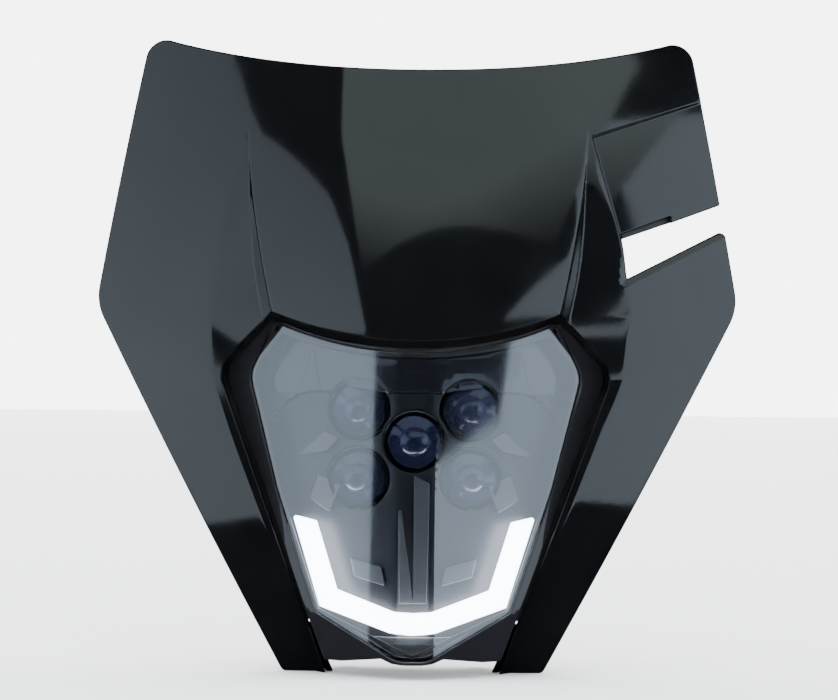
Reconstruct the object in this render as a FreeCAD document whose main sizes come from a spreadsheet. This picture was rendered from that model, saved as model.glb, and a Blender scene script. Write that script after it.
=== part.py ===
import FreeCAD, Part
import Sketcher
import math
import os

# Enduro bike headlight: a one-piece front mask with the lamp unit hung in it.
# Millimetres. Z is up, the lamp shines towards -Y, and X is to the right as seen from in front.
# The origin is midway between the two locating pegs under the mask, at half their length.

V = FreeCAD.Vector
doc = FreeCAD.newDocument("enduro_headlight")

# Driving dimensions
DIMENSIONS = {
    # Front face of the mask: an arc from top to bottom, swept back to both sides
    "face_front_y": -60, "face_front_z": 110, "face_radius": 385,
    "wing_slope": 0.8, "face_round": 75, "mask_wall": 3,
    # Outline of the mask, seen from in front
    "top_mid_z": 277, "top_corner_x": 134.5, "top_corner_z": 299.5, "top_corner_round": 10,
    "top_reach": 10, "top_rise": 3.5,
    "wing_tip_x": 157.7, "wing_tip_z": 165, "wing_tip_round": 24,
    "foot_outer_x": 62, "foot_z": -10, "foot_round": 3,
    # Spear shaped channels beside the brow
    "spear_tip_x": 82, "spear_tip_z": 247, "spear_depth": 6, "spear_fade": 60, "spear_wall_lean": 0.6,
    "spear_root_shift": 0.82,
    "ridge_x": 99.5, "ridge_z": 141, "ridge_round": 12, "ridge_lower_slope": 0.42,
    "brow_edge_x": 68.3, "brow_edge_z": 160.5, "brow_mid_z": 147.5, "spear_bow": 1.8,
    # Window for the lamp, with its return flange
    "window_corner_x": 94.5, "window_corner_z": 133.8, "window_round": 14, "window_foot_x": 41,
    "window_flange": 12, "flange_wall": 2.2,
    # Hose pocket and slot in the right wing
    "pocket_x": 84, "pocket_z": 247, "pocket_turn": 6, "pocket_inner_x": 98.4, "pocket_rise": 0.37,
    "pocket_foot_rise": 26,
    "slot_top_z": 196.8, "slot_height": 18.3, "slot_rise_top": 0.383, "slot_rise_low": 0.51,
    "slot_lean": 0.14,
    # Fixings of the mask
    "peg_spacing": 62, "peg_radius": 4, "peg_length": 12, "cross_depth": 10, "cross_height": 5,
    "leg_arm_width": 5, "tab_z": 252, "tab_thick": 4, "tab_width": 40, "tab_bore_y": -6,
    "tab_rib_height": 22, "tab_rib_wall": 2.5,
    "sleeve_bore": 3.25, "sleeve_wall": 1.25, "grommet_wall": 2.5, "grommet_lip": 1.5,
    "sleeve_length": 10,
    # Aim pivot and aim clamp
    "pivot_y": 10, "pivot_z": 130, "ear_thick": 3.5, "ear_height": 26, "ear_rear_y": 20, "ear_front_y": -26,
    "bush_bore": 3.05, "bush_wall": 1.5, "bush_lip": 1, "pivot_shank": 3, "pivot_head": 6,
    "pivot_head_height": 3, "pivot_boss": 8, "run_gap": 0.3,
    "pivot_boss_root_x": 66, "aim_y": 9, "aim_z": 19, "aim_shank": 2.5, "aim_travel": 12,
    "aim_lug_wall": 3, "aim_lug_height": 17, "aim_insert_radius": 3.8,
    "aim_insert_length": 8,
    # Face of the lamp: a flat keel strip and two side faces that sweep back
    "keel_half": 8, "keel_round": 10, "lens_top_y": -48, "lens_top_z": 145, "lens_lean": 14,
    "lens_side_slope": 0.5, "lens_side_bow": 1.6, "lens_wall": 2.5, "seal_thick": 1.2,
    # Outline of the clear lens
    "lens_mid_z": 142, "lens_corner_x": 67.5, "lens_corner_z": 156.2, "lens_wide_x": 79.3,
    "lens_wide_z": 131, "lens_hip_x": 65.2, "lens_hip_z": 77, "lens_low_x": 45.5, "lens_low_z": 20,
    "lens_foot_z": -0.6,
    # Lamp frame and housing
    "lamp_gap": 1.8, "brow_gap": 3.2, "frame_depth": 8, "frame_ledge": 1.6, "frame_foot_z": -1,
    "frame_keel_z": -3.5, "lens_fit": 0.2, "housing_inset": 2, "housing_wall": 2.5,
    "housing_rear_y": 15, "housing_rear_wall": 3, "housing_rear_inset": 14, "housing_rear_low_z": 40,
    "skirt_y": -4, "skirt_wall": 2, "skirt_overlap": 2.2, "skirt_low_z": 13,
    "skirt_notch_x": 14, "skirt_notch_z": 28,
    # Inner bezel and light units
    "bezel_setback": 16, "bezel_wall": 2, "bezel_fit": 0.55, "bezel_reach": 40,
    "unit_x": 26.4, "unit_upper_z": 114.7,
    "unit_mid_z": 100, "unit_lower_z": 82.4, "unit_radius": 13, "unit_dome": 7, "unit_rim": 2,
    "unit_sink": 4, "ring_wall": 1.6,
    "carrier_y": 0.9, "carrier_wall": 2.5,
    # Daytime light
    "guide_setback": 5.5, "guide_depth": 6.6, "guide_low_z": 10, "guide_width": 10.5,
    "guide_turn_x": 44, "guide_turn_z": 22, "guide_tip_x": 57.6, "guide_tip_z": 64.3,
    # Boards, heat sink and rear cover
    "board_thick": 1.6, "sink_z": 98.5, "sink_width": 84, "sink_height": 58, "sink_base": 4,
    "sink_foot_depth": 10, "foot_fit": 0.3, "fin_depth": 16, "fin_thick": 1.8,
    "fin_margin": 11, "fin_count": 11, "fin_end": 2, "sink_screw_inset": 4,
    "sink_foot_x": 10, "sink_foot_z": 7,
    "cover_width": 62, "cover_height": 22, "cover_gap": 1, "cover_thick": 5, "cover_screw_inset": 3,
    "screw_radius": 1.5, "screw_head": 2.8, "screw_head_height": 2,
    "inlet_x": 16, "inlet_radius": 6, "inlet_bore": 2.5, "inlet_length": 12, "breather_radius": 3,
    "clip_length": 27, "clip_thick": 3,
}
sizes = doc.addObject("Spreadsheet::Sheet", "sizes")
for row, (alias, number) in enumerate(DIMENSIONS.items(), start=1):
    sizes.set("A%d" % row, alias)
    sizes.set("B%d" % row, str(number))
    sizes.setAlias("B%d" % row, alias)
doc.recompute()


def size(alias):
    return float(sizes.get(alias))


# Forms shared by the pieces

def face_mid_y(z):
    """Depth of the mask's face on the centre line."""
    return size("face_front_y") + (z - size("face_front_z")) ** 2 / (2 * size("face_radius"))


def face_y(x, z):
    """Depth of the mask's face at any point."""
    sweep = math.hypot(x, size("face_round")) - size("face_round")
    return face_mid_y(z) + size("wing_slope") * sweep


def spread(low, high, count):
    return [low + (high - low) * step / (count - 1) for step in range(count)]


def mask_face():
    """The mask's face as one smooth sheet, a little larger than the mask."""
    reach = size("wing_tip_x") + 20
    low, high = size("foot_z") - 15, size("top_corner_z") + 15
    rows = [[V(x, face_y(x, z), z) for z in spread(low, high, 9)] for x in spread(-reach, reach, 15)]
    sheet = Part.BSplineSurface()
    sheet.interpolate(rows)
    return sheet.toShape()


def behind(face, depth=130.0):
    """Everything behind a face, as deep as given."""
    return face.extrude(V(0, depth, 0))


def at_zero(points):
    return [V(x, 0, z) for x, z in points]


def loop(edges):
    return Part.Wire(Part.sortEdges(edges)[0])


def polygon(points):
    corners = at_zero(points)
    return Part.makePolygon(corners + corners[:1])


def through(wire, front=-140.0, rear=140.0):
    """A prism along Y over an outline that is drawn at y = 0."""
    face = Part.Face(wire)
    face.translate(V(0, front, 0))
    return face.extrude(V(0, rear - front, 0))


def rounded(points, radii):
    """A closed outline of straight runs, with the corners rounded where a radius is given."""
    corners = at_zero(points)
    count = len(corners)
    edges = []
    joins = []
    for place in range(count):
        before, corner, after = corners[place - 1], corners[place], corners[(place + 1) % count]
        into, out = (corner - before).normalize(), (after - corner).normalize()
        turn = into.getAngle(out)
        radius = radii.get(place, 0)
        back = radius * math.tan(turn / 2)
        start, end = corner - into * back, corner + out * back
        if radius:
            inward = (out - into).normalize()
            middle = corner + inward * (radius / math.cos(turn / 2) - radius)
            edges.append(Part.Arc(start, middle, end).toShape())
        joins.append((start, end))
    for place in range(count):
        edges.append(Part.makeLine(joins[place][1], joins[(place + 1) % count][0]))
    return loop(edges)


def grown(wire, amount):
    """An outline moved outwards, or inwards where the amount is negative."""
    return Part.Face(wire).makeOffset2D(amount).OuterWire


def fused(shapes):
    return shapes[0].multiFuse(shapes[1:]).removeSplitter()


def box(x, y, z):
    """A block between two values along each axis."""
    return Part.makeBox(x[1] - x[0], y[1] - y[0], z[1] - z[0], V(x[0], y[0], z[0]))


def rod(radius, start, end):
    axis = end - start
    return Part.makeCylinder(radius, axis.Length, start, axis)


def mirror_x(shape):
    return shape.mirror(V(0, 0, 0), V(1, 0, 0))


def piece(name, shape):
    """A finished sub-part whose form is set directly."""
    part = doc.addObject("Part::Feature", name)
    part.Label = name
    part.Shape = shape
    part.Placement = FreeCAD.Placement()
    return part


# Mask shell

def mask_outline():
    """Outer edge of the mask: an arched top edge, straight wings and two feet."""
    corner_x, corner_z = size("top_corner_x"), size("top_corner_z")
    low = size("foot_z")
    frame = rounded([(corner_x, corner_z), (size("wing_tip_x"), size("wing_tip_z")),
                     (size("foot_outer_x"), low), (-size("foot_outer_x"), low),
                     (-size("wing_tip_x"), size("wing_tip_z")), (-corner_x, corner_z)],
                    {1: size("wing_tip_round"), 2: size("foot_round"), 3: size("foot_round"),
                     4: size("wing_tip_round")})
    left, right = (V(side * (corner_x + size("top_reach")), 0, corner_z + size("top_rise"))
                   for side in (-1, 1))
    up = V(0, 0, corner_z - size("top_mid_z") + size("wing_tip_round"))
    arc = Part.Arc(left, V(0, 0, size("top_mid_z")), right).toShape()
    above = [Part.makeLine(right, right + up), Part.makeLine(right + up, left + up),
             Part.makeLine(left + up, left)]
    body = through(frame).cut(through(loop([arc] + above)))
    corners = [edge for edge in body.Edges
               if edge.BoundBox.YLength > 200 and edge.BoundBox.ZMin > corner_z - 30]
    return body.makeFillet(size("top_corner_round"), corners)


def ridge_line(z):
    """Outer crease of the channel."""
    rise = z - size("ridge_z")
    if rise > 0:
        share = rise / (size("spear_tip_z") - size("ridge_z"))
        return size("ridge_x") - (size("ridge_x") - size("spear_tip_x")) * share ** 1.6
    drop = math.hypot(rise, size("ridge_round")) - size("ridge_round")
    return size("ridge_x") - size("ridge_lower_slope") * drop


def brow_line(z):
    """Inner crease of the channel, where the brow begins."""
    share = (z - size("brow_edge_z")) / (size("spear_tip_z") - size("brow_edge_z"))
    bow = size("spear_bow") * 4 * share * (1 - share) if 0 < share < 1 else 0
    return size("brow_edge_x") + (size("spear_tip_x") - size("brow_edge_x")) * share + bow


def channel_depth(z):
    share = min((size("spear_tip_z") - z) / size("spear_fade"), 1)
    return size("spear_depth") * (share if share < 0 else share * share * (3 - 2 * share))


def channel_cutter(shift=V(0, 0, 0)):
    """What is taken out of the right side for the channel: a leaning wall and a nearly flat floor."""
    wires = []
    for z in spread(size("foot_z") - 12, size("spear_tip_z") + 8, 14):
        depth = channel_depth(z)
        root_x = brow_line(z) + size("spear_root_shift") * max(depth, 0)
        root_y = face_y(root_x, z) + depth
        width = max(ridge_line(z) - root_x, 1)
        fall = min(max((face_y(root_x + width, z) - root_y) / width, 0.02), 0.35)
        high, reach = 26, width + 14
        points = [V(root_x - size("spear_wall_lean") * high, root_y - high, z), V(root_x, root_y, z),
                  V(root_x + reach, root_y + fall * reach, z), V(root_x + reach, root_y - high, z)]
        wires.append(Part.makePolygon(points + points[:1]))
    cutter = Part.makeLoft(wires, True, False)
    cutter.translate(shift)
    return cutter


def window_outline(margin=0.0):
    """Edge of the lamp window. It runs out below the mask, between the feet."""
    edge_x, edge_z = size("brow_edge_x"), size("brow_edge_z")
    corner = V(size("window_corner_x"), 0, size("window_corner_z"))
    foot = V(size("window_foot_x"), 0, size("foot_z"))
    below = foot + (foot - corner) * 0.12
    right = [V(edge_x, 0, edge_z), corner, below]
    left = [V(-point.x, 0, point.z) for point in right]
    arc = Part.Arc(left[0], V(0, 0, size("brow_mid_z")), right[0]).toShape()
    into, out = (corner - right[0]).normalize(), (below - corner).normalize()
    turn = into.getAngle(out)
    radius = size("window_round")
    back = radius * math.tan(turn / 2)
    start, end = corner - into * back, corner + out * back
    middle = corner + (out - into).normalize() * (radius / math.cos(turn / 2) - radius)
    edges = [arc, Part.makeLine(right[0], start), Part.Arc(start, middle, end).toShape(),
             Part.makeLine(end, below), Part.makeLine(below, left[2])]
    for edge in edges[1:4]:
        edges.append(mirror_x(edge))
    wire = loop(edges)
    return grown(wire, margin) if margin else wire


def pocket_cutter(margin, shift_y, face):
    """The hose pocket: the wing's face, turned about the wing's outer edge so that it sinks inwards."""
    inner = (size("pocket_inner_x") - size("pocket_x")) / (size("pocket_z") - size("slot_top_z"))
    far = size("wing_tip_x") + 10
    low = size("slot_top_z") - size("slot_height") - 6 - margin
    top = size("pocket_z") + margin
    left = size("pocket_x") - margin
    outline = polygon([(left, top), (left + inner * (top - low), low), (far, low + size("pocket_foot_rise")),
                       (far, top + size("pocket_rise") * (far - left))])
    return through(outline).cut(behind(pocket_floor(face, shift_y), 220))


def pocket_floor(face, shift_y):
    floor = face.copy()
    hinge_x, hinge_z = size("top_corner_x") + 14, size("pocket_z")
    floor.rotate(V(hinge_x, face_y(hinge_x, hinge_z), hinge_z), V(0, 0, 1), -size("pocket_turn"))
    floor.translate(V(0, shift_y + 0.6, 0))
    return floor


def slot_cutter():
    """The hose slot, open at the wing's outer edge."""
    top, low = size("slot_top_z"), size("slot_top_z") - size("slot_height")
    left, far = size("pocket_inner_x"), size("wing_tip_x") + 15
    lean = size("slot_height") * size("slot_lean")
    return through(polygon([(left, top), (left + lean, low),
                            (far, low + size("slot_rise_low") * (far - left - lean)),
                            (far, top + size("slot_rise_top") * (far - left))]))


def mask_fixings():
    """Ears for the pivots, the cross member with its pegs, the aim lug and the top tab."""
    half = size("peg_spacing") / 2
    peg_top = size("peg_length") / 2
    rear, front = size("cross_depth") / 2, -size("cross_depth") / 2
    cross_top = peg_top + size("cross_height")
    arm_in = size("window_foot_x") + 7
    arm_out = arm_in + size("leg_arm_width")
    shapes = [box((-arm_out, arm_out), (front, rear), (peg_top, cross_top))]
    for side in (-1, 1):
        peg = rod(size("peg_radius"), V(side * half, 0, -peg_top), V(side * half, 0, peg_top + 1))
        shapes.append(peg)
        inner, outer = sorted((side * arm_in, side * arm_out))
        shapes.append(box((inner, outer), (face_mid_y(0), rear), (peg_top - 3, cross_top)))
        ear_in, ear_out = sorted((side * ear_x(), side * (ear_x() + size("ear_thick"))))
        half_ear = size("ear_height") / 2
        shapes.append(box((ear_in, ear_out), (size("ear_front_y"), size("ear_rear_y")),
                          (size("pivot_z") - half_ear, size("pivot_z") + half_ear)))
    lug_in = size("aim_lug_wall") + size("run_gap")
    reach = size("aim_travel") / 2 + size("aim_shank") + 3
    shapes.append(box((lug_in, lug_in + size("aim_lug_wall")), (size("aim_y") - reach, size("aim_y") + reach),
                      (cross_top - 3, cross_top - 3 + size("aim_lug_height"))))
    half_tab = size("tab_width") / 2
    tab_rear = size("tab_bore_y") + 14
    tab_low = size("tab_z") - size("tab_thick")
    shapes.append(box((-half_tab, half_tab), (-50, tab_rear), (tab_low, size("tab_z"))))
    for side in (-1, 1):
        x = side * (half_tab - size("tab_rib_wall") / 2)
        rib = Part.makePolygon([V(x, -50, tab_low + 1), V(x, tab_rear - 2, tab_low + 1),
                                V(x, -50, tab_low - size("tab_rib_height")), V(x, -50, tab_low + 1)])
        rib_face = Part.Face(rib)
        rib_face.translate(V(-size("tab_rib_wall") / 2, 0, 0))
        shapes.append(rib_face.extrude(V(size("tab_rib_wall"), 0, 0)))
    return fused(shapes)


def ear_x():
    """Inner side of the pivot ears, just outside the window's flange."""
    return size("window_corner_x") - 1


def mask_holes():
    """Bores for the bushes and the grommet, and the curved travel of the aim screw as a slot."""
    bush = size("bush_bore") + size("bush_wall")
    holes = []
    for side in (-1, 1):
        start = V(side * (ear_x() - 5), size("pivot_y"), size("pivot_z"))
        holes.append(rod(bush, start, start + V(side * 20, 0, 0)))
    grommet = size("sleeve_bore") + size("sleeve_wall") + size("grommet_wall")
    foot = V(0, size("tab_bore_y"), size("tab_z") - 10)
    holes.append(rod(grommet, foot, foot + V(0, 0, 20)))
    wide = size("aim_shank") + 0.4
    ends = [size("aim_y") - size("aim_travel") / 2, size("aim_y") + size("aim_travel") / 2]
    x = (0.5, 12)
    holes.append(box(x, ends, (size("aim_z") - wide, size("aim_z") + wide)))
    for end in ends:
        holes.append(rod(wide, V(x[0], end, size("aim_z")), V(x[1], end, size("aim_z"))))
    return holes


def mask_shell():
    """One moulding: an outer form less an inner form, then its window, flange, slot and fixings."""
    wall = size("mask_wall")
    face = mask_face()
    right, right_inner = channel_cutter(), channel_cutter(V(-wall * 0.7, wall, 0))
    outer = behind(face).common(mask_outline())
    outer = outer.cut([right, mirror_x(right), pocket_cutter(0, 0, face)])
    inner = behind(face, 170)
    inner.translate(V(0, wall, 0))
    inner = inner.cut([right_inner, mirror_x(right_inner), pocket_cutter(wall, wall, face)])
    deeper = outer.copy()
    deeper.translate(V(0, size("window_flange"), 0))
    ring = through(window_outline(size("flange_wall"))).cut(through(window_outline()))
    flange = outer.common(ring).cut(deeper)
    shell = outer.cut(inner).cut(through(window_outline()))
    shell = shell.fuse([flange, mask_fixings().common(outer)])
    return shell.cut(mask_holes() + [slot_cutter()]).removeSplitter()


# Face and outlines of the lamp

def lens_y(x, z):
    """Depth of the lamp's face at any point, from its keel strip and its side slope."""
    lean = size("lens_lean") * (size("lens_top_z") - z) / size("lens_top_z")
    return size("lens_top_y") - lean + size("lens_side_slope") * max(abs(x) - size("keel_half"), 0)


def lamp_face(setback=0.0):
    """The lamp's face as a profile across it, drawn down along its lean."""
    half, radius, reach = size("keel_half"), size("keel_round"), 102
    turn = math.atan(size("lens_side_slope"))
    back = radius * math.tan(turn / 2)
    out = V(math.cos(turn), math.sin(turn), 0)
    corner = V(half, 0, 0)
    start, end = corner - V(back, 0, 0), corner + out * back
    middle = corner + V(-math.sin(turn / 2), math.cos(turn / 2), 0) * radius * (1 / math.cos(turn / 2) - 1)
    far = corner + out * reach
    bow = (end + far) / 2 + V(math.sin(turn), -math.cos(turn), 0) * size("lens_side_bow")
    right = [Part.Arc(start, middle, end).toShape(), Part.Arc(end, bow, far).toShape()]
    strip = Part.makeLine(V(-start.x, 0, 0), start)
    profile = loop([strip] + right + [mirror_x(edge) for edge in right])
    low, high = -60.0, 190.0
    run = V(0, size("lens_lean") / size("lens_top_z"), 1)
    profile.translate(V(0, size("lens_top_y") + setback, 0) + run * (low - size("lens_top_z"))
                      + V(0, 0, size("lens_top_z")))
    return profile.extrude(run * (high - low))


def lamp_block(setback=0.0, thick=130.0):
    """A slab of the given thickness behind the lamp's face, set back from it."""
    return fused(lamp_face(setback).extrude(V(0, thick, 0)).Solids)


def skin(outline, setback, thick):
    """A plate that follows the lamp's face, within an outline."""
    return lamp_block(setback, thick).common(through(outline))


def shield(top_z, corners, radii):
    """A shield outline: an arc along the top, and corners down the right side, mirrored to the left."""
    points = at_zero(corners)
    arc = Part.Arc(V(-points[0].x, 0, points[0].z), V(0, 0, top_z), points[0]).toShape()
    edges = []
    start = points[0]
    for place in range(1, len(points)):
        corner = points[place]
        radius = radii.get(place, 0)
        if not radius or place == len(points) - 1:
            edges.append(Part.makeLine(start, corner))
            start = corner
            continue
        into, out = (corner - points[place - 1]).normalize(), (points[place + 1] - corner).normalize()
        turn = into.getAngle(out)
        back = radius * math.tan(turn / 2)
        enter, leave = corner - into * back, corner + out * back
        middle = corner + (out - into).normalize() * (radius / math.cos(turn / 2) - radius)
        edges.append(Part.makeLine(start, enter))
        edges.append(Part.Arc(enter, middle, leave).toShape())
        start = leave
    edges += [mirror_x(edge) for edge in edges]
    if points[-1].x > 0.01:
        edges.append(Part.makeLine(points[-1], V(-points[-1].x, 0, points[-1].z)))
    return loop([arc] + edges)


def lens_outline(margin=0.0):
    wire = shield(size("lens_mid_z"),
                  [(size("lens_corner_x"), size("lens_corner_z")), (size("lens_wide_x"), size("lens_wide_z")),
                   (size("lens_hip_x"), size("lens_hip_z")), (size("lens_low_x"), size("lens_low_z")),
                   (0, size("lens_foot_z"))], {1: size("window_round"), 3: 3})
    return grown(wire, margin) if margin else wire


def frame_prism(inset=0.0):
    """The room for the lamp inside the window, less its gaps and a further inset."""
    room = through(window_outline(-size("lamp_gap") - inset))
    lowered = through(window_outline(5 - inset))
    lowered.translate(V(0, 0, -size("brow_gap") - 5))
    wide = size("wing_tip_x")
    foot = polygon([(-wide, size("frame_foot_z") + inset), (0, size("frame_keel_z") + inset),
                    (wide, size("frame_foot_z") + inset), (wide, 200), (-wide, 200)])
    return room.common(lowered).common(through(foot))


def lamp_frame():
    """Black frame around the lens: a deep rim with a rebate for the lens and its seal."""
    rim = frame_prism().common(lamp_block(0, size("frame_depth")))
    seat = size("lens_wall") + size("seal_thick")
    rebate = through(lens_outline(size("lens_fit"))).common(lamp_block(-1, seat + 1))
    return rim.cut([rebate, through(lens_outline(-size("frame_ledge")))]).removeSplitter()


def front_lens():
    return skin(lens_outline(), 0, size("lens_wall"))


def lens_seal():
    ring = skin(lens_outline(), size("lens_wall"), size("seal_thick"))
    return ring.cut(through(lens_outline(-size("frame_ledge"))))


def housing_form(inset=0.0):
    """The housing's outer form, or its hollow where an inset is given."""
    gap = size("lamp_gap") + size("housing_inset")
    corner_x, corner_z = size("brow_edge_x") - gap * 0.7, size("brow_edge_z") - gap - size("brow_gap")
    wide_x, wide_z = size("window_corner_x") - gap * 1.1, size("window_corner_z") - gap * 0.3
    low_x = size("window_foot_x") + 1
    top = size("brow_mid_z") - size("housing_inset") - size("brow_gap")
    taper = size("housing_rear_inset")
    low_z = size("housing_rear_low_z")
    rear_y = size("housing_rear_y") - (size("housing_rear_wall") if inset else 0)
    front = (top, [(corner_x, corner_z), (wide_x, wide_z), (low_x, 6), (0, 3)])
    middle = (top, [(corner_x, corner_z), (wide_x, wide_z), (low_x + 9, low_z * 0.75), (0, low_z * 0.66)])
    rear = (top - 6, [(corner_x - taper, corner_z - taper), (wide_x - taper, wide_z - 8),
                      (low_x + 4, low_z + 6), (0, low_z)])
    wires = []
    for y, (top_z, corners) in ((-80, front), (-42, front), (-8, middle), (rear_y, rear)):
        wire = shield(top_z, corners, {1: size("window_round") - 4, 2: 4})
        if inset:
            wire = grown(wire, -inset)
        wire.translate(V(0, y, 0))
        wires.append(wire)
    return Part.makeLoft(wires, True, True)


def pivot_bosses():
    """Round bosses on both sides of the housing, which take the pivot screws."""
    y, z = size("pivot_y"), size("pivot_z")
    reach = ear_x() - size("run_gap")
    return [rod(size("pivot_boss"), V(side * size("pivot_boss_root_x"), y, z), V(side * reach, y, z))
            for side in (-1, 1)]


def gap_skirt():
    """Thin rim behind the frame that closes the view through the gap around the lamp."""
    outline, wall = window_outline(size("skirt_overlap")), size("skirt_wall")
    plane = through(outline, size("skirt_y"), size("skirt_y") + wall).common(lamp_block(size("frame_depth")))
    swept = skin(outline, size("frame_depth"), wall)
    reach, rear = ear_x() - size("run_gap"), size("housing_rear_y")
    limits = box((-reach, reach), (size("skirt_y"), rear), (size("skirt_low_z"), size("brow_edge_z") + 5))
    notch = box((-size("skirt_notch_x"), size("skirt_notch_x")), (size("skirt_y") - 5, rear),
                (0, size("skirt_notch_z")))
    return plane.fuse(swept).common(limits).cut(notch)


def lamp_housing():
    """Rear housing: a tapered tub with pivot bosses, aim lug and openings for heat sink and cover."""
    front = lamp_block(size("frame_depth"))
    insert, wall = size("aim_insert_radius"), size("aim_lug_wall")
    aim_y, aim_z = size("aim_y"), size("aim_z")
    lug = box((wall - size("aim_insert_length"), wall), (aim_y - insert - wall, aim_y + insert + wall),
              (aim_z - insert - wall, size("housing_rear_low_z") + 4))
    solid = fused([housing_form().common(front), gap_skirt(), lug] + pivot_bosses())
    solid = solid.cut(housing_form(size("housing_wall")).cut(pivot_bosses()))
    cuts = [rod(insert, V(-30, aim_y, aim_z), V(30, aim_y, aim_z))]
    for side in (-1, 1):
        start = V(side * (size("pivot_boss_root_x") + 3), size("pivot_y"), size("pivot_z"))
        cuts.append(rod(size("pivot_shank"), start, start + V(side * 60, 0, 0)))
    rear = (0, size("housing_rear_y") + 5)
    half_w, half_h = sink_foot()
    fit = size("foot_fit")
    cuts.append(box((-half_w - fit, half_w + fit), rear,
                    (size("sink_z") - half_h - fit, size("sink_z") + half_h + fit)))
    half_w, half_h = size("cover_width") / 2 - 7, size("cover_height") / 2 - 5
    cuts.append(box((-half_w, half_w), rear, (cover_mid_z() - half_h, cover_mid_z() + half_h)))
    return solid.cut(cuts).removeSplitter()


def sink_foot():
    """Half width and half height of the heat sink's foot, which passes through the housing."""
    return size("sink_width") / 2 - size("sink_foot_x"), size("sink_height") / 2 - size("sink_foot_z")


def cover_mid_z():
    """The rear cover sits just below the heat sink."""
    return size("sink_z") - size("sink_height") / 2 - size("cover_gap") - size("cover_height") / 2


def units():
    """Place of each light unit: name, x, z and the depth of its flat rear side."""
    x = size("unit_x")
    places = {"upper_left": (-x, size("unit_upper_z")), "upper_right": (x, size("unit_upper_z")),
              "centre": (0, size("unit_mid_z")), "lower_left": (-x, size("unit_lower_z")),
              "lower_right": (x, size("unit_lower_z"))}
    return {name: V(x, lens_y(x, z) + size("bezel_setback") + size("unit_sink"), z)
            for name, (x, z) in places.items()}


def guide_outline(outer):
    """V shaped path of the daytime light, from its outer edge or its inner edge."""
    turn_x, turn_z = size("guide_turn_x"), size("guide_turn_z")
    tip_x, tip_z = size("guide_tip_x"), size("guide_tip_z")
    if outer:
        return [(0, size("guide_low_z")), (turn_x * 0.24, size("guide_low_z") + 1), (turn_x, turn_z),
                (tip_x, tip_z)]
    width = size("guide_width")
    return [(tip_x - width * 1.1, tip_z - 2.5), (turn_x - width * 0.78, turn_z + width * 0.76),
            (turn_x * 0.2, size("guide_low_z") + width), (0, size("guide_low_z") + width * 0.95)]


def guide_wire(margin=0.0):
    outer, inner = guide_outline(True), guide_outline(False)
    right = outer[1:] + inner[:-1]
    left = [(-x, z) for x, z in reversed(right)]
    wire = polygon(right + inner[-1:] + left + outer[:1])
    return grown(wire, margin) if margin else wire


def raised_ribs():
    """Keel rib, brow blades, upright fins, trays, cheeks and shelves that stand up from the bezel.
    Each has its centre and its height, then its outline about that centre on the right side."""
    x, mid = size("unit_x"), size("unit_mid_z")
    upper, lower, reach = size("unit_upper_z"), size("unit_lower_z"), size("unit_radius")
    forms = [(0, (lower + size("guide_low_z")) / 2, 3, [(0.5, -20), (0.5, 38), (7.5, 34), (6.5, -22)]),
             (x + reach + 5, mid - 2, 4, [(12.6, -6), (-1.4, 6.5), (-8.4, 3), (-2.4, -3)]),
             (x + 2 * reach - 2.4, upper + 18.3, 3, [(-1.5, 10), (0.5, 10), (5, -9), (-5, -9)]),
             (x - 4.4, size("guide_turn_z") + 17, 2, [(-7, 2), (8, 6), (6, -3), (-9, -7)]),
             (x + reach + 2.6, lower - 6, 3, [(-7, 2.6), (4, 7.6), (8, -4.4), (-2, -10.4)]),
             (x + 15.6, upper + reach, 2, [(-30, 0.3), (28, 6.3), (32, 2.3), (-30, -4.7)])]
    setback = size("bezel_setback")
    ribs = []
    for centre_x, centre_z, height, outline in forms:
        points = [(centre_x + across, centre_z + up) for across, up in outline]
        for side in (1, -1):
            wire = polygon([(side * across, up) for across, up in points])
            ribs.append(skin(wire, setback - height, height + size("bezel_wall") / 2))
    return ribs


def inner_bezel():
    """Dark inner mask: a ribbed plate behind the lens with openings for the light units."""
    room = housing_form(size("housing_wall") + size("bezel_fit"))
    plate = lamp_block(size("bezel_setback"), size("bezel_wall")).common(room)
    radius = size("unit_radius") + size("ring_wall") + size("foot_fit")
    reach = V(0, size("bezel_reach"), 0)
    holes = [rod(radius, spot - reach, spot + reach) for spot in units().values()]
    return plate.fuse(raised_ribs()).cut(holes).removeSplitter()


def drl_light_guide():
    return skin(guide_wire(), size("guide_setback"), size("guide_depth"))


def drl_board():
    thick = size("board_thick")
    return skin(guide_wire(-1.5), size("bezel_setback") - thick, thick)


def drl_leds():
    """Small light sources along the board, one under every stretch of the light guide."""
    outer, inner = guide_outline(True), list(reversed(guide_outline(False)))
    chips = []
    half = 1.4
    for start in range(3):
        for share in (0.25, 0.75):
            x = sum(row[start][0] * (1 - share) + row[start + 1][0] * share for row in (outer, inner)) / 2
            z = sum(row[start][1] * (1 - share) + row[start + 1][1] * share for row in (outer, inner)) / 2
            for side in (-1, 1):
                wire = polygon([(side * x - half, z - half), (side * x + half, z - half),
                                (side * x + half, z + half), (side * x - half, z + half)])
                front = size("guide_setback") + size("guide_depth") + 0.3
                chips.append(skin(wire, front, size("bezel_setback") - size("board_thick") - front))
    return Part.makeCompound(chips)


def optic_carrier():
    """Black carrier: a plate with a tube behind each light unit."""
    plate_front, plate_rear = size("carrier_y"), size("carrier_y") + 2.5
    outer = size("unit_radius") + size("ring_wall")
    inner = outer - size("carrier_wall")
    half = size("unit_x") + outer
    low, high = size("unit_lower_z") - outer, size("unit_upper_z") + outer
    shapes = [box((-half, half), (plate_front, plate_rear), (low, high))]
    holes = []
    for spot in units().values():
        shapes.append(rod(outer, spot, V(spot.x, plate_rear, spot.z)))
        holes.append(rod(inner, spot - V(0, 1, 0), V(spot.x, plate_rear + 1, spot.z)))
    return fused(shapes).cut(holes).removeSplitter()


# Pieces that are turned, or cut from plate

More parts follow.
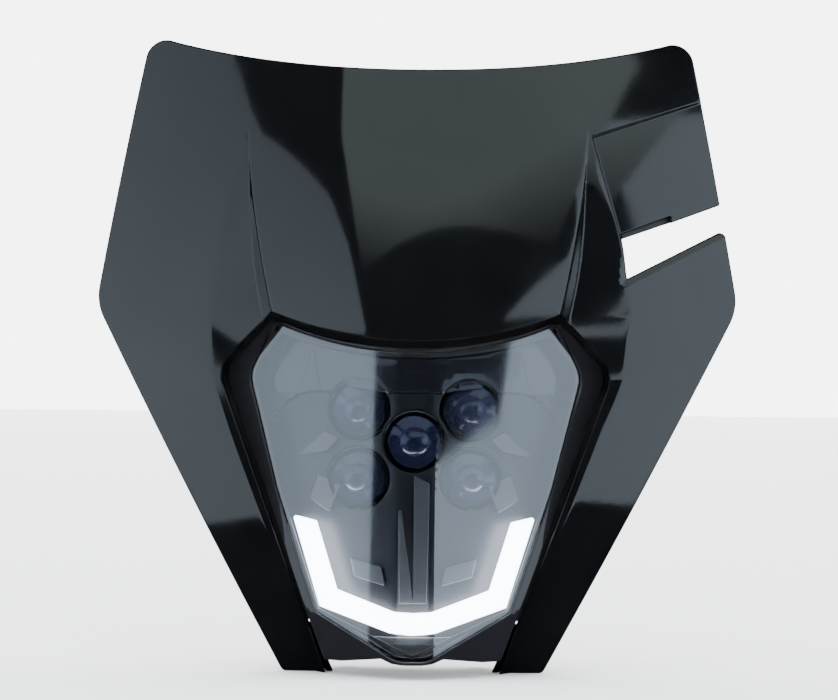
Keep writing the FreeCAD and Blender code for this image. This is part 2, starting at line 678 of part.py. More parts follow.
def plane_of(body, role):
    return next(feature for feature in body.Origin.OriginFeatures if feature.Role == role)


def new_body(name, place=V(0, 0, 0), axis=V(0, 0, 1)):
    body = doc.addObject("PartDesign::Body", name)
    body.Label = name
    body.Placement = FreeCAD.Placement(place, FreeCAD.Rotation(V(0, 0, 1), axis))
    return body


def outline_sketch(body, role, corners, name):
    """A closed outline whose corners are each bound to two expressions."""
    sketch = body.newObject("Sketcher::SketchObject", name)
    sketch.AttachmentSupport = [(plane_of(body, role), "")]
    sketch.MapMode = "FlatFace"
    values = [(float(sketch.evalExpression(x)), float(sketch.evalExpression(y))) for x, y in corners]
    count = len(corners)
    for place in range(count):
        start, end = values[place], values[(place + 1) % count]
        sketch.addGeometry(Part.LineSegment(V(*start, 0), V(*end, 0)), False)
    for place in range(count):
        sketch.addConstraint(Sketcher.Constraint("Coincident", place, 2, (place + 1) % count, 1))
        for kind, text, value in zip(("DistanceX", "DistanceY"), corners[place], values[place]):
            number = sketch.addConstraint(Sketcher.Constraint(kind, place, 1, value))
            if text != "0":
                sketch.setExpression("Constraints[%d]" % number, text)
    return sketch


def turned(name, corners, place, axis):
    """A turned piece: its half section, with radius and height of each corner."""
    body = new_body(name, place, axis)
    sketch = outline_sketch(body, "XZ_Plane", corners, name + "_section")
    turn = body.newObject("PartDesign::Revolution", name + "_turn")
    turn.Profile = sketch
    turn.ReferenceAxis = (sketch, ["V_Axis"])
    turn.Angle = 360
    return body


def plate_corners(half_x, half_y):
    """Corners of a centred rectangle, from two expressions."""
    return [("-(%s)" % half_x, "-(%s)" % half_y), (half_x, "-(%s)" % half_y), (half_x, half_y),
            ("-(%s)" % half_x, half_y)]


def padded(body, corners, length, name, offset=None):
    """A block over an outline in the piece's own XY plane, raised by an offset where one is given."""
    sketch = outline_sketch(body, "XY_Plane", corners, name + "_outline")
    if offset:
        sketch.setExpression("AttachmentOffset.Base.z", offset)
    pad = body.newObject("PartDesign::Pad", name)
    pad.Profile = sketch
    pad.setExpression("Length", length)
    return pad


REAR = V(0, 1, 0)
FRONT = V(0, -1, 0)


def light_unit(name, spot):
    """Thick round lens with a domed front and a thin rim, and the ring that holds it."""
    lens = new_body("projector_lens_" + name, spot, FRONT)
    sketch = lens.newObject("Sketcher::SketchObject", "dome_section_" + name)
    sketch.AttachmentSupport = [(plane_of(lens, "XZ_Plane"), "")]
    sketch.MapMode = "FlatFace"
    radius, rim, dome = size("unit_radius"), size("unit_rim"), size("unit_dome")
    flat = radius - 1
    ball = (flat * flat + dome * dome) / (2 * dome)
    centre_y = rim + dome - ball
    start = math.atan2(rim - centre_y, flat)
    sketch.addGeometry(Part.LineSegment(V(0, 0, 0), V(radius, 0, 0)), False)
    sketch.addGeometry(Part.LineSegment(V(radius, 0, 0), V(radius, rim, 0)), False)
    sketch.addGeometry(Part.LineSegment(V(radius, rim, 0), V(flat, rim, 0)), False)
    circle = Part.Circle(V(0, centre_y, 0), V(0, 0, 1), ball)
    sketch.addGeometry(Part.ArcOfCircle(circle, start, math.pi / 2), False)
    sketch.addGeometry(Part.LineSegment(V(0, rim + dome, 0), V(0, 0, 0)), False)
    for first, first_end, second, second_end in ((0, 2, 1, 1), (1, 2, 2, 1), (2, 2, 3, 1), (3, 2, 4, 1),
                                                 (4, 2, 0, 1)):
        sketch.addConstraint(Sketcher.Constraint("Coincident", first, first_end, second, second_end))
    sketch.addConstraint(Sketcher.Constraint("Coincident", 0, 1, -1, 1))
    sketch.addConstraint(Sketcher.Constraint("Horizontal", 0))
    sketch.addConstraint(Sketcher.Constraint("Vertical", 1))
    sketch.addConstraint(Sketcher.Constraint("Horizontal", 2))
    sketch.addConstraint(Sketcher.Constraint("Vertical", 4))
    sketch.addConstraint(Sketcher.Constraint("PointOnObject", 3, 3, -2))
    for kind, edge, end, value, text in (("DistanceX", 0, 2, radius, "sizes.unit_radius"),
                                         ("DistanceY", 1, 2, rim, "sizes.unit_rim"),
                                         ("DistanceX", 2, 2, flat, "sizes.unit_radius - 1"),
                                         ("DistanceY", 3, 2, rim + dome, "sizes.unit_rim + sizes.unit_dome")):
        number = sketch.addConstraint(Sketcher.Constraint(kind, edge, end, value))
        sketch.setExpression("Constraints[%d]" % number, text)
    turn = lens.newObject("PartDesign::Revolution", "dome_turn_" + name)
    turn.Profile = sketch
    turn.ReferenceAxis = (sketch, ["V_Axis"])
    turn.Angle = 360
    outer = "sizes.unit_radius + sizes.ring_wall"
    turned("lens_ring_" + name,
           [("sizes.unit_radius + 0.05", "0"), (outer, "0"), (outer, "sizes.unit_rim + 1.5"),
            ("sizes.unit_radius - 0.8", "sizes.unit_rim + 1.5"),
            ("sizes.unit_radius - 0.8", "sizes.unit_rim"), ("sizes.unit_radius + 0.05", "sizes.unit_rim")],
           spot, FRONT)


def turned_pieces():
    """Bushes, grommet, sleeve, inlet, breather, aim insert and washer."""
    bush_outer = "sizes.bush_bore + sizes.bush_wall"
    for side, name in ((1, "right"), (-1, "left")):
        turned("pivot_bush_" + name,
               [("sizes.bush_bore", "0"), (bush_outer, "0"), (bush_outer, "sizes.ear_thick"),
                ("sizes.pivot_head", "sizes.ear_thick"),
                ("sizes.pivot_head", "sizes.ear_thick + sizes.bush_lip"),
                ("sizes.bush_bore", "sizes.ear_thick + sizes.bush_lip")],
               V(side * ear_x(), size("pivot_y"), size("pivot_z")), V(side, 0, 0))
    sleeve_outer = "sizes.sleeve_bore + sizes.sleeve_wall"
    neck = sleeve_outer + " + sizes.grommet_wall"
    lip = neck + " + sizes.grommet_lip"
    top = "sizes.tab_thick / 2 + sizes.grommet_lip"
    tab_mid = V(0, size("tab_bore_y"), size("tab_z") - size("tab_thick") / 2)
    turned("top_grommet",
           [(sleeve_outer, "-(%s)" % top), (lip, "-(%s)" % top), (lip, "-sizes.tab_thick / 2"),
            (neck, "-sizes.tab_thick / 2"), (neck, "sizes.tab_thick / 2"), (lip, "sizes.tab_thick / 2"),
            (lip, top), (sleeve_outer, top)], tab_mid, V(0, 0, 1))
    turned("top_sleeve",
           [("sizes.sleeve_bore", "-sizes.sleeve_length / 2"), (sleeve_outer, "-sizes.sleeve_length / 2"),
            (sleeve_outer, "sizes.sleeve_length / 2"), ("sizes.sleeve_bore", "sizes.sleeve_length / 2")],
           tab_mid, V(0, 0, 1))
    cover_face = size("housing_rear_y") + 1
    turned("wire_inlet",
           [("sizes.inlet_bore", "0"), ("sizes.inlet_radius", "0"),
            ("sizes.inlet_radius", "sizes.cover_thick"),
            ("sizes.inlet_radius + 2", "sizes.cover_thick"),
            ("sizes.inlet_radius + 2", "sizes.cover_thick + 2"),
            ("sizes.inlet_radius - 1", "sizes.cover_thick + 2.5"),
            ("sizes.inlet_radius - 2", "sizes.cover_thick + sizes.inlet_length"),
            ("sizes.inlet_bore", "sizes.cover_thick + sizes.inlet_length")],
           V(size("inlet_x"), cover_face, cover_mid_z()), REAR)
    turned("breather_cap",
           [("0", "0"), ("sizes.breather_radius", "0"), ("sizes.breather_radius", "sizes.cover_thick"),
            ("sizes.breather_radius + 3", "sizes.cover_thick"),
            ("sizes.breather_radius + 3", "sizes.cover_thick + 2"),
            ("sizes.breather_radius + 2", "sizes.cover_thick + 3"), ("0", "sizes.cover_thick + 3")],
           V(-size("inlet_x"), cover_face, cover_mid_z()), REAR)
    turned("aim_insert",
           [("sizes.aim_shank", "-sizes.aim_insert_length"),
            ("sizes.aim_insert_radius", "-sizes.aim_insert_length"), ("sizes.aim_insert_radius", "0"),
            ("sizes.aim_shank", "0")], V(size("aim_lug_wall"), size("aim_y"), size("aim_z")), V(1, 0, 0))
    turned("aim_washer",
           [("sizes.aim_shank + 0.1", "0"), ("sizes.aim_shank + 3", "0"), ("sizes.aim_shank + 3", "1"),
            ("sizes.aim_shank + 0.1", "1")], V(aim_washer_x(), size("aim_y"), size("aim_z")), V(1, 0, 0))


def aim_washer_x():
    return 2 * size("aim_lug_wall") + 2 * size("run_gap")


def socket_screw(radius, length, head_radius, head_height, seat, axis):
    """A socket head screw. The seat is the underside of its head, and the axis points to the head."""
    shank = rod(radius, seat - axis * length, seat)
    head = rod(head_radius, seat, seat + axis * head_height)
    hexagon = Part.makePolygon([V(math.cos(math.radians(60 * k)), math.sin(math.radians(60 * k)), 0)
                                * head_radius * 0.55 for k in range(7)])
    key = Part.Face(hexagon).extrude(V(0, 0, head_height))
    key.Placement = FreeCAD.Placement(seat + axis * head_height * 0.4, FreeCAD.Rotation(V(0, 0, 1), axis))
    return fused([shank, head.cut(key)])


def sink_screw_spots():
    inset = size("sink_screw_inset")
    half_w, half_h = size("sink_width") / 2 - inset, size("sink_height") / 2 - inset
    return [(x, size("sink_z") + z) for x in (-half_w, half_w) for z in (-half_h, half_h)]


def cover_screw_spots():
    inset = size("cover_screw_inset")
    half_w, half_h = size("cover_width") / 2 - inset, size("cover_height") / 2 - inset
    return [(x, cover_mid_z() + z) for x in (-half_w, half_w) for z in (-half_h, half_h)]


def screw_holes():
    """Pilot holes for the heat sink's and the cover's screws, in the housing's rear wall."""
    rear = size("housing_rear_y")
    return [rod(size("screw_radius"), V(x, rear - 6, z), V(x, rear + 6, z))
            for x, z in sink_screw_spots() + cover_screw_spots()]


def screws():
    """Pivot screws, aim screw, and the two groups of small screws at the rear."""
    for side, name in ((1, "right"), (-1, "left")):
        head = ear_x() + size("ear_thick") + size("bush_lip") + size("run_gap")
        seat = V(side * head, size("pivot_y"), size("pivot_z"))
        length = head - size("pivot_boss_root_x") - 3
        piece("pivot_screw_" + name, socket_screw(size("pivot_shank"), length, size("pivot_head"),
                                                  size("pivot_head_height"), seat, V(side, 0, 0)))
    seat = V(aim_washer_x() + 1, size("aim_y"), size("aim_z"))
    piece("aim_screw", socket_screw(size("aim_shank"), seat.x - size("aim_lug_wall")
                                    + size("aim_insert_length"), size("aim_shank") + 2,
                                    3.5, seat, V(1, 0, 0)))
    small = (size("screw_head"), size("screw_head_height"))
    rear = size("housing_rear_y")
    sink = [socket_screw(size("screw_radius"), size("sink_base") + 5, *small,
                         V(x, rear + size("sink_base"), z), REAR) for x, z in sink_screw_spots()]
    piece("heatsink_screws", Part.makeCompound(sink))
    cover = [socket_screw(size("screw_radius"), size("cover_thick") + 6, *small,
                          V(x, rear + 1 + size("cover_thick"), z), REAR) for x, z in cover_screw_spots()]
    piece("rear_cover_screws", Part.makeCompound(cover))


def circle_sketch(body, circles, name):
    """Circles on the body's XY plane, each given by its centre and a radius expression."""
    sketch = body.newObject("Sketcher::SketchObject", name)
    sketch.AttachmentSupport = [(plane_of(body, "XY_Plane"), "")]
    sketch.MapMode = "FlatFace"
    for place, (x, y, text) in enumerate(circles):
        centre_x, centre_y = (float(sketch.evalExpression(value)) for value in (x, y))
        radius = float(sketch.evalExpression(text))
        sketch.addGeometry(Part.Circle(V(centre_x, centre_y, 0), V(0, 0, 1), radius), False)
        for kind, value, expression in (("DistanceX", centre_x, x), ("DistanceY", centre_y, y)):
            number = sketch.addConstraint(Sketcher.Constraint(kind, place, 3, value))
            if expression != "0":
                sketch.setExpression("Constraints[%d]" % number, expression)
        number = sketch.addConstraint(Sketcher.Constraint("Radius", place, radius))
        sketch.setExpression("Constraints[%d]" % number, text)
    return sketch


def drilled(body, circles, name):
    """Holes right through a body, on both sides of its XY plane."""
    pocket = body.newObject("PartDesign::Pocket", name)
    pocket.Profile = circle_sketch(body, circles, name + "_circles")
    pocket.Midplane = True
    pocket.Length = 120


def corner_circles(half_x, half_y, radius):
    return [("%s(%s)" % (sign_x, half_x), "%s(%s)" % (sign_y, half_y), radius)
            for sign_x in ("", "-") for sign_y in ("", "-")]


def heatsink():
    """Finned aluminium heat sink. Its foot reaches through the housing to the light board."""
    body = new_body("heatsink", V(0, size("housing_rear_y"), size("sink_z")), REAR)
    half_x, half_y = "sizes.sink_width / 2", "sizes.sink_height / 2"
    padded(body, plate_corners(half_x, half_y), "sizes.sink_base", "sink_base_plate")
    padded(body, plate_corners(half_x + " - sizes.sink_foot_x", half_y + " - sizes.sink_foot_z"),
           "sizes.sink_foot_depth", "sink_foot_block", "-sizes.sink_foot_depth")
    screw_x, screw_y = half_x + " - sizes.sink_screw_inset", half_y + " - sizes.sink_screw_inset"
    drilled(body, corner_circles(screw_x, screw_y, "sizes.screw_radius"), "sink_holes")
    first, half_fin = "-(%s - sizes.fin_margin)" % half_x, "sizes.fin_thick / 2"
    left, right = first + " - " + half_fin, first + " + " + half_fin
    fin_top = half_y + " - sizes.fin_end"
    fin_low = "-(%s)" % fin_top
    fin = padded(body, [(left, fin_low), (right, fin_low), (right, fin_top), (left, fin_top)],
                 "sizes.fin_depth", "sink_fin", "sizes.sink_base")
    doc.recompute()
    row = body.newObject("PartDesign::LinearPattern", "sink_fins")
    row.Originals = [fin]
    row.Direction = (fin.Profile[0], ["H_Axis"])
    row.setExpression("Length", "sizes.sink_width - 2 * sizes.fin_margin")
    row.setExpression("Occurrences", "sizes.fin_count")
    body.Tip = row


def flat_pieces():
    """Rear cover with its seal, the light board, its emitters and the driver board."""
    rear = size("housing_rear_y")
    cover = new_body("rear_cover", V(0, rear + 1, cover_mid_z()), REAR)
    half_x, half_y = "sizes.cover_width / 2", "sizes.cover_height / 2"
    block = padded(cover, plate_corners(half_x, half_y), "sizes.cover_thick", "cover_block")
    doc.recompute()
    fillet = cover.newObject("PartDesign::Fillet", "cover_corners")
    upright = ["Edge%d" % (number + 1) for number, edge in enumerate(block.Shape.Edges)
               if abs(edge.tangentAt(edge.FirstParameter).z) > 0.99]
    fillet.Base = (block, upright)
    fillet.Radius = 2.5
    screw_x, screw_y = half_x + " - sizes.cover_screw_inset", half_y + " - sizes.cover_screw_inset"
    drilled(cover, corner_circles(screw_x, screw_y, "sizes.screw_radius")
            + [("sizes.inlet_x", "0", "sizes.inlet_radius"),
               ("-sizes.inlet_x", "0", "sizes.breather_radius")], "cover_holes")
    seal = new_body("rear_cover_seal", V(0, rear, cover_mid_z()), REAR)
    padded(seal, plate_corners(half_x + " - 5", half_y + " - 2.2"), "1", "seal_outer")
    inner = outline_sketch(seal, "XY_Plane", plate_corners(half_x + " - 6.7", half_y + " - 4.2"),
                           "seal_opening")
    cut = seal.newObject("PartDesign::Pocket", "seal_cut")
    cut.Profile = inner
    cut.Midplane = True
    cut.Length = 10
    board_front = rear - size("sink_foot_depth")
    board = new_body("led_board", V(0, board_front, size("sink_z")), FRONT)
    padded(board, plate_corners("sizes.sink_width / 2 - 10.5", "sizes.sink_height / 2 - 7.5"),
           "sizes.board_thick", "led_board_plate")
    driver = new_body("driver_board", V(0, rear - size("housing_rear_wall") - 0.2, cover_mid_z()), FRONT)
    padded(driver, plate_corners(half_x + " - 5", half_y + " - 1.5"), "sizes.board_thick", "driver_plate")
    chip_face = board_front - size("board_thick")
    chips = [box((spot.x - 2.5, spot.x + 2.5), (chip_face - 1, chip_face), (spot.z - 2.5, spot.z + 2.5))
             for spot in units().values()]
    piece("led_emitters", Part.makeCompound(chips))
    parts_face = rear - size("housing_rear_wall") - 0.2 - size("board_thick")
    z = cover_mid_z()
    driver_parts = [rod(4, V(x, parts_face, z), V(x, parts_face - 10, z)) for x in (-20, -10)]
    driver_parts.append(box((0, 10), (parts_face - 6, parts_face), (z - 5, z + 5)))
    driver_parts.append(box((14, 22), (parts_face - 3, parts_face), (z - 4, z + 4)))
    piece("driver_parts", Part.makeCompound(driver_parts))


def hose_clip():
    """Small retaining bar behind the hose slot's upper edge, which follows the pocket's floor."""
    left, length = size("pocket_inner_x") + 3.5, size("clip_length")
    top, low = size("slot_top_z"), size("slot_top_z") - 2.8
    rise = size("slot_rise_top")
    outline = through(polygon([(left, top + 9), (left, low), (left + length, low + rise * length),
                               (left + length, top + 9 + rise * length)]))
    floor = pocket_floor(mask_face(), size("mask_wall") + 0.2)
    return floor.extrude(V(0, size("clip_thick"), 0)).common(outline)


def check_and_write():
    """Every object has to be sound before any file is written."""
    doc.recompute()
    for item in doc.Objects:
        if any(state in ("Invalid", "Error") for state in item.State):
            raise RuntimeError("%s did not compute: %s" % (item.Name, item.State))
    parts = [item for item in doc.Objects
             if item.TypeId in ("PartDesign::Body", "Part::Feature") and item.Label == item.Name]
    for item in parts:
        if item.Shape.isNull() or not item.Shape.isValid() or item.Shape.Volume <= 0:
            raise RuntimeError("%s has no sound shape" % item.Label)
    os.makedirs("parts", exist_ok=True)
    for item in parts:
        item.Shape.exportStep("parts/%s.step" % item.Label)
    print(len(parts), "parts written")


piece("mask_shell", mask_shell())
piece("hose_clip", hose_clip())
piece("lamp_frame", lamp_frame())
piece("front_lens", front_lens())
piece("lens_seal", lens_seal())
piece("lamp_housing", lamp_housing().cut(screw_holes()))
piece("inner_bezel", inner_bezel())
piece("drl_light_guide", drl_light_guide())
piece("drl_board", drl_board())
piece("drl_leds", drl_leds())
piece("optic_carrier", optic_carrier())
for unit_name, unit_spot in units().items():
    light_unit(unit_name, unit_spot)
turned_pieces()
screws()
heatsink()
flat_pieces()
check_and_write()
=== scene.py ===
import math

import bmesh
import bpy
import numpy as np
from mathutils import Matrix, Vector
from mathutils.geometry import delaunay_2d_cdt


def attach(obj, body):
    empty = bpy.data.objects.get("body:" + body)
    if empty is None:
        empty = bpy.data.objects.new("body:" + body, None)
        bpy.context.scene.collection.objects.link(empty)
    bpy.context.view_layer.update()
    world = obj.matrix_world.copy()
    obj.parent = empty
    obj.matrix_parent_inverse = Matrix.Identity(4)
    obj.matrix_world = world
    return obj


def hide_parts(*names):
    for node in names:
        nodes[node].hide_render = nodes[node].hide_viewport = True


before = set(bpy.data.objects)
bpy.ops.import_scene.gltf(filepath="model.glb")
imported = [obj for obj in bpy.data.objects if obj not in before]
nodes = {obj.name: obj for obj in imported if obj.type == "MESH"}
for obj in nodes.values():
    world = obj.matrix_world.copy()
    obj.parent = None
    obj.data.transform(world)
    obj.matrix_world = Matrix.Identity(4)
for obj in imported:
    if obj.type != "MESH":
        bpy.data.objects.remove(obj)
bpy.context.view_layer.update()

# Enduro headlight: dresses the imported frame. Lengths in the sections are millimetres, and a
# mesh is turned into metres where it is made. Z is up, the lamp shines towards -Y.
MM = 0.001


# Floor and light. The piece stands on a plain pale floor in an even, pale surround, and its gloss
# mirrors neither. Its reflections come from two soft panels at its sides and one above.

class Wire:
    """A socket of a shader tree, on which Python's operators add Math nodes."""

    def __init__(self, finish, socket):
        self.finish, self.socket = finish, socket

    def calc(self, operation, *others):
        sockets = {0: self} | dict(enumerate(others, 1))
        return self.finish.node("ShaderNodeMath", {"operation": operation}, sockets)

    def __add__(self, other):
        return self.calc("ADD", other)

    def __sub__(self, other):
        return self.calc("SUBTRACT", other)

    def __rsub__(self, other):
        return self.calc("MULTIPLY", -1.0) + other

    def __mul__(self, other):
        return self.calc("MULTIPLY", other)

    __radd__, __rmul__ = __add__, __mul__


class Finish:
    """A material while it is made."""

    def __init__(self, name):
        self.material = bpy.data.materials.new(name)
        self.material.use_nodes = True
        self.tree = self.material.node_tree
        self.tree.nodes.clear()

    def node(self, kind, settings, sockets, out=0):
        made = self.tree.nodes.new(kind)
        for key, value in settings.items():
            setattr(made, key, value)
        for key, value in sockets.items():
            if isinstance(value, Wire):
                self.tree.links.new(value.socket, made.inputs[key])
            else:
                made.inputs[key].default_value = value
        return Wire(self, made.outputs[out])

    def place(self):
        return self.node("ShaderNodeTexCoord", {}, {}, "Object")

    def noise(self, scale, detail=2.0, rough=0.5):
        return self.node("ShaderNodeTexNoise", {}, {"Vector": self.place(), "Scale": scale, "Detail": detail,
                                                    "Roughness": rough})

    def ramp(self, value, low, high, start=0.0, end=1.0):
        """The value, mapped from low..high to start..end and held at both ends."""
        return self.node("ShaderNodeMapRange", {}, {"Value": value, "From Min": low, "From Max": high,
                                                    "To Min": start, "To Max": end})

    def mix(self, share, first, second):
        return self.node("ShaderNodeMix", {"data_type": "RGBA"}, {0: share, 6: first, 7: second}, 2)

    def bump(self, height, distance, strength=1.0):
        return self.node("ShaderNodeBump", {}, {"Height": height, "Distance": distance, "Strength": strength})

    def surface(self, **sockets):
        """A Principled surface. A socket's name is given in lower case, with _ for spaces."""
        made = self.tree.nodes.new("ShaderNodeBsdfPrincipled")
        names = {socket.name.lower().replace(" ", "_"): socket for socket in made.inputs}
        for key, value in sockets.items():
            if isinstance(value, Wire):
                self.tree.links.new(value.socket, names[key])
            else:
                names[key].default_value = value
        return Wire(self, made.outputs[0])

    def done(self, surface):
        out = self.tree.nodes.new("ShaderNodeOutputMaterial")
        self.tree.links.new(surface.socket, out.inputs["Surface"])
        return self.material


def emitter(name, corners, colour, low, high):
    """A light panel whose corners are directions seen from the object, as (azimuth, elevation) in
    degrees. Its strength runs from the first to the second (elevation, strength) pair."""
    points = []
    for azimuth, elevation in corners:
        across, up = math.radians(azimuth), math.radians(elevation)
        points.append((panel_distance * math.cos(up) * math.sin(across),
                       -panel_distance * math.cos(up) * math.cos(across),
                       panel_distance * math.sin(up) + lights_middle_z * MM))
    mesh = bpy.data.meshes.new(name)
    mesh.from_pydata(points, [], [range(len(points))])
    panel = bpy.data.objects.new(name, mesh)
    bpy.context.scene.collection.objects.link(panel)
    light = Finish(name)
    direction = light.node("ShaderNodeVectorMath", {"operation": "NORMALIZE"}, {0: light.place()})
    height = light.node("ShaderNodeSeparateXYZ", {}, {0: direction}, 2)
    strength = light.ramp(height, math.sin(math.radians(low[0])), math.sin(math.radians(high[0])),
                          low[1], high[1])
    glow = light.node("ShaderNodeEmission", {}, {"Color": (*colour, 1), "Strength": strength})
    mesh.materials.append(light.done(glow))
    panel.visible_camera = False


lights_middle_z, floor_z = 110.0, -10.0
panel_distance, floor_reach = 12.0, 6.0  # in metres
cool, green_grey = (0.74, 0.88, 1.0), (0.80, 0.94, 0.96)
left_corners = [(-48.4, -12), (-48.4, 9.8), (-29, 11.5), (-28, 12.3), (-38, 23.8), (-48, 29.4),
                (-69, 32.4), (-73, 34.5), (-79, 38.6), (-102, 44), (-106, -12)]
right_corners = [(44.5, -10), (44.5, 7.1), (48.6, 7.4), (52, 7.7), (52.7, 8.4), (53.3, 9.2), (54, 11.3),
                 (60, 12), (43.7, 12.9), (62.8, 19.1), (66, 21.5), (66, 32), (73, 33), (82, 31), (102, 34),
                 (102, -9)]
upper_corners = [(-46, 38), (-31, 21), (60, 21), (82, 37), (82, 60), (-60, 60)]
emitter("left_softbox", left_corners, cool, (5, 2.15), (38, 1.25))
emitter("right_softbox", right_corners, cool, (0, 2.45), (30, 2.3))
emitter("ceiling_light", upper_corners, green_grey, (21, 0.0), (33, 1.55))

bpy.ops.mesh.primitive_plane_add(size=2 * floor_reach, location=(0, 0, floor_z * MM))
floor = bpy.context.object
floor.name = "floor"
floor.visible_glossy = False

surround_colour, surround_strength = (0.93, 0.94, 0.95, 1), 6.5
world = bpy.data.worlds.new("studio")
bpy.context.scene.world = world
world.use_nodes = True
surround = world.node_tree.nodes["Background"]
surround.inputs["Color"].default_value = surround_colour
surround.inputs["Strength"].default_value = surround_strength
world.cycles_visibility.glossy = False

# Camera: 1.5 m in front of the pegs, at the height of the mask's middle, with a slight roll.
camera_distance, camera_left, camera_height = 1500.0, -10.0, 143.3
focal_px, frame_px, centre_px = 3100.0, 838.0, 416.0
camera_data = bpy.data.cameras.new("camera")
camera_data.sensor_width = 36.0
camera_data.lens = focal_px / frame_px * camera_data.sensor_width
camera_data.shift_x = 0.5 - centre_px / frame_px
camera = bpy.data.objects.new("camera", camera_data)
bpy.context.scene.collection.objects.link(camera)
camera_turn, camera_roll = math.atan2(camera_left, camera_distance), math.radians(0.6)
camera.matrix_world = (Matrix.Translation((-camera_left * MM, -camera_distance * MM, camera_height * MM))
                       @ Matrix.Rotation(-camera_turn, 4, "Z") @ Matrix.Rotation(math.radians(90), 4, "X")
                       @ Matrix.Rotation(camera_roll, 4, "Z"))
bpy.context.scene.camera = camera


# Mask: one moulding in glossy black plastic with a slight orange peel. It is rebuilt as a dense
# sheet over its outline, so that its creases are rounded and its reflections run smoothly. The
# ears, the cross member with the pegs, the arms and the top tab are part of the same moulding.

# Its face is an arc from top to bottom, swept back to both sides, worked out for whole arrays.
face_front_y, face_front_z, face_radius = -60.0, 110.0, 385.0
wing_slope, face_round, mask_wall = 0.8, 75.0, 3.0
spear_tip_x, spear_tip_z, spear_depth, spear_fade = 82.0, 247.0, 6.0, 82.0
spear_lean, spear_shift, spear_bow, least_fall, most_fall = 0.6, 0.82, 1.8, 0.02, 0.40
ridge_x, ridge_z, ridge_round, ridge_slope, ridge_bend = 99.5, 141.0, 12.0, 0.42, 1.6
pull_out, pull_z, pull_reach = 4.5, 175.0, 45.0
brow_x, brow_z, brow_mid_z = 68.3, 160.5, 147.5
crease_soft = 0.25


def face(x, z):
    return (face_front_y + (z - face_front_z) ** 2 / (2 * face_radius)
            + wing_slope * (np.hypot(x, face_round) - face_round))


def ridge_line(z):
    rise = z - ridge_z
    share = np.clip(rise / (spear_tip_z - ridge_z), 0, None)
    drop = np.hypot(np.minimum(rise, 0), ridge_round) - ridge_round
    return ridge_x - (ridge_x - spear_tip_x) * share ** ridge_bend - ridge_slope * drop


def brow_line(z):
    share = (z - brow_z) / (spear_tip_z - brow_z)
    bow = spear_bow * 4 * share * (1 - share) * ((share > 0) & (share < 1))
    return brow_x + (spear_tip_x - brow_x) * share + bow


def channel_depth(z):
    share = np.minimum((spear_tip_z - z) / spear_fade, 1)
    return spear_depth * np.where(share < 0, share, share * share * (3 - 2 * share))


def softened(first, second, soft):
    """The larger of two heights, with the crease between them rounded."""
    return (first + second + np.sqrt((first - second) ** 2 + soft ** 2)) / 2


def ridge_pull(z):
    """The right ridge runs further out, beside the hose pocket."""
    return pull_out * np.exp(-((z - pull_z) / pull_reach) ** 2)


def channel_root(z):
    """Where the channel's ground starts, at the foot of its inner wall."""
    return brow_line(z) + spear_shift * np.maximum(channel_depth(z), 0)


def channel(x, z):
    root_x = channel_root(z)
    root_y = face(root_x, z) + channel_depth(z)
    width = np.maximum(ridge_line(z) + ridge_pull(z) * (x > 0) - root_x, 1)
    fall = np.clip((face(root_x + width, z) - root_y) / width, least_fall, most_fall)
    across = np.abs(x) - root_x
    wall, ground = root_y + across / spear_lean, root_y + fall * across
    return -softened(-wall, -ground, crease_soft)


# The hose pocket and the slot in the right wing.
pocket_x, pocket_z, pocket_turn, pocket_lean, pocket_rise = 84.0, 247.0, math.radians(3.6), 0.287, 0.37
hinge_x, pocket_sink, pocket_edge = 148.5, 0.6, 1.2
slot_x, slot_top_z, slot_height, slot_lean = 98.4, 196.8, 18.3, 0.14
slot_rise_top, slot_rise_low, foot_drop, foot_rise = 0.383, 0.51, -8.0, 0.42
slot_low = (slot_x + slot_height * slot_lean, slot_top_z - slot_height)
pocket_low = slot_top_z - slot_height - foot_drop
bevel_wide, bevel_deep, bevel_start, bevel_fade = 3.2, 1.5, 9.0, 4.0
notch_long, notch_high = 24.8, 3.3


def pocket_floor(x, z):
    """The mask's face, turned about the wing's outer edge."""
    hinge_y = face(hinge_x, pocket_z)
    cos, sin = math.cos(pocket_turn), math.sin(pocket_turn)
    source = x
    for _ in range(5):
        source = hinge_x + (x - hinge_x - (face(source, z) - hinge_y) * sin) / cos
    return hinge_y - (source - hinge_x) * sin + (face(source, z) - hinge_y) * cos + pocket_sink


def pocket_share(x, z):
    """1 inside the pocket, 0 outside, with a short slope at its steps."""
    left = (x - pocket_x - pocket_lean * (pocket_z - z)) / math.hypot(1, pocket_lean)
    top = (pocket_z + pocket_rise * (x - pocket_x) - z) / math.hypot(1, pocket_rise)
    along = x - pocket_x - pocket_lean * (pocket_z - pocket_low)
    under = (z - pocket_low - foot_rise * along) / math.hypot(1, foot_rise)
    share = np.clip(np.minimum(np.minimum(left, top), under) / pocket_edge + 0.5, 0, 1)
    return share * share * (3 - 2 * share)


def slot_bevel(x, z):
    """Depth of the bevel along the slot's lower edge and round its inner corner."""
    under = (slot_low[1] + slot_rise_low * (x - slot_low[0]) - z) / math.hypot(1, slot_rise_low)
    away = np.hypot(np.maximum(under, 0), np.maximum(slot_low[0] - x, 0))
    in_reach = np.clip((under + bevel_start) / bevel_fade, 0, 1)
    return bevel_deep * np.clip(1 - away / bevel_wide, 0, 1) * in_reach


def mask_front(x, z):
    plain = softened(face(x, z), channel(x, z), crease_soft)
    return plain + np.maximum(pocket_floor(x, z) - plain, 0) * pocket_share(x, z) + slot_bevel(x, z)


# Outlines. A path is a list of corners, each with a radius, and arcs are given point by point.

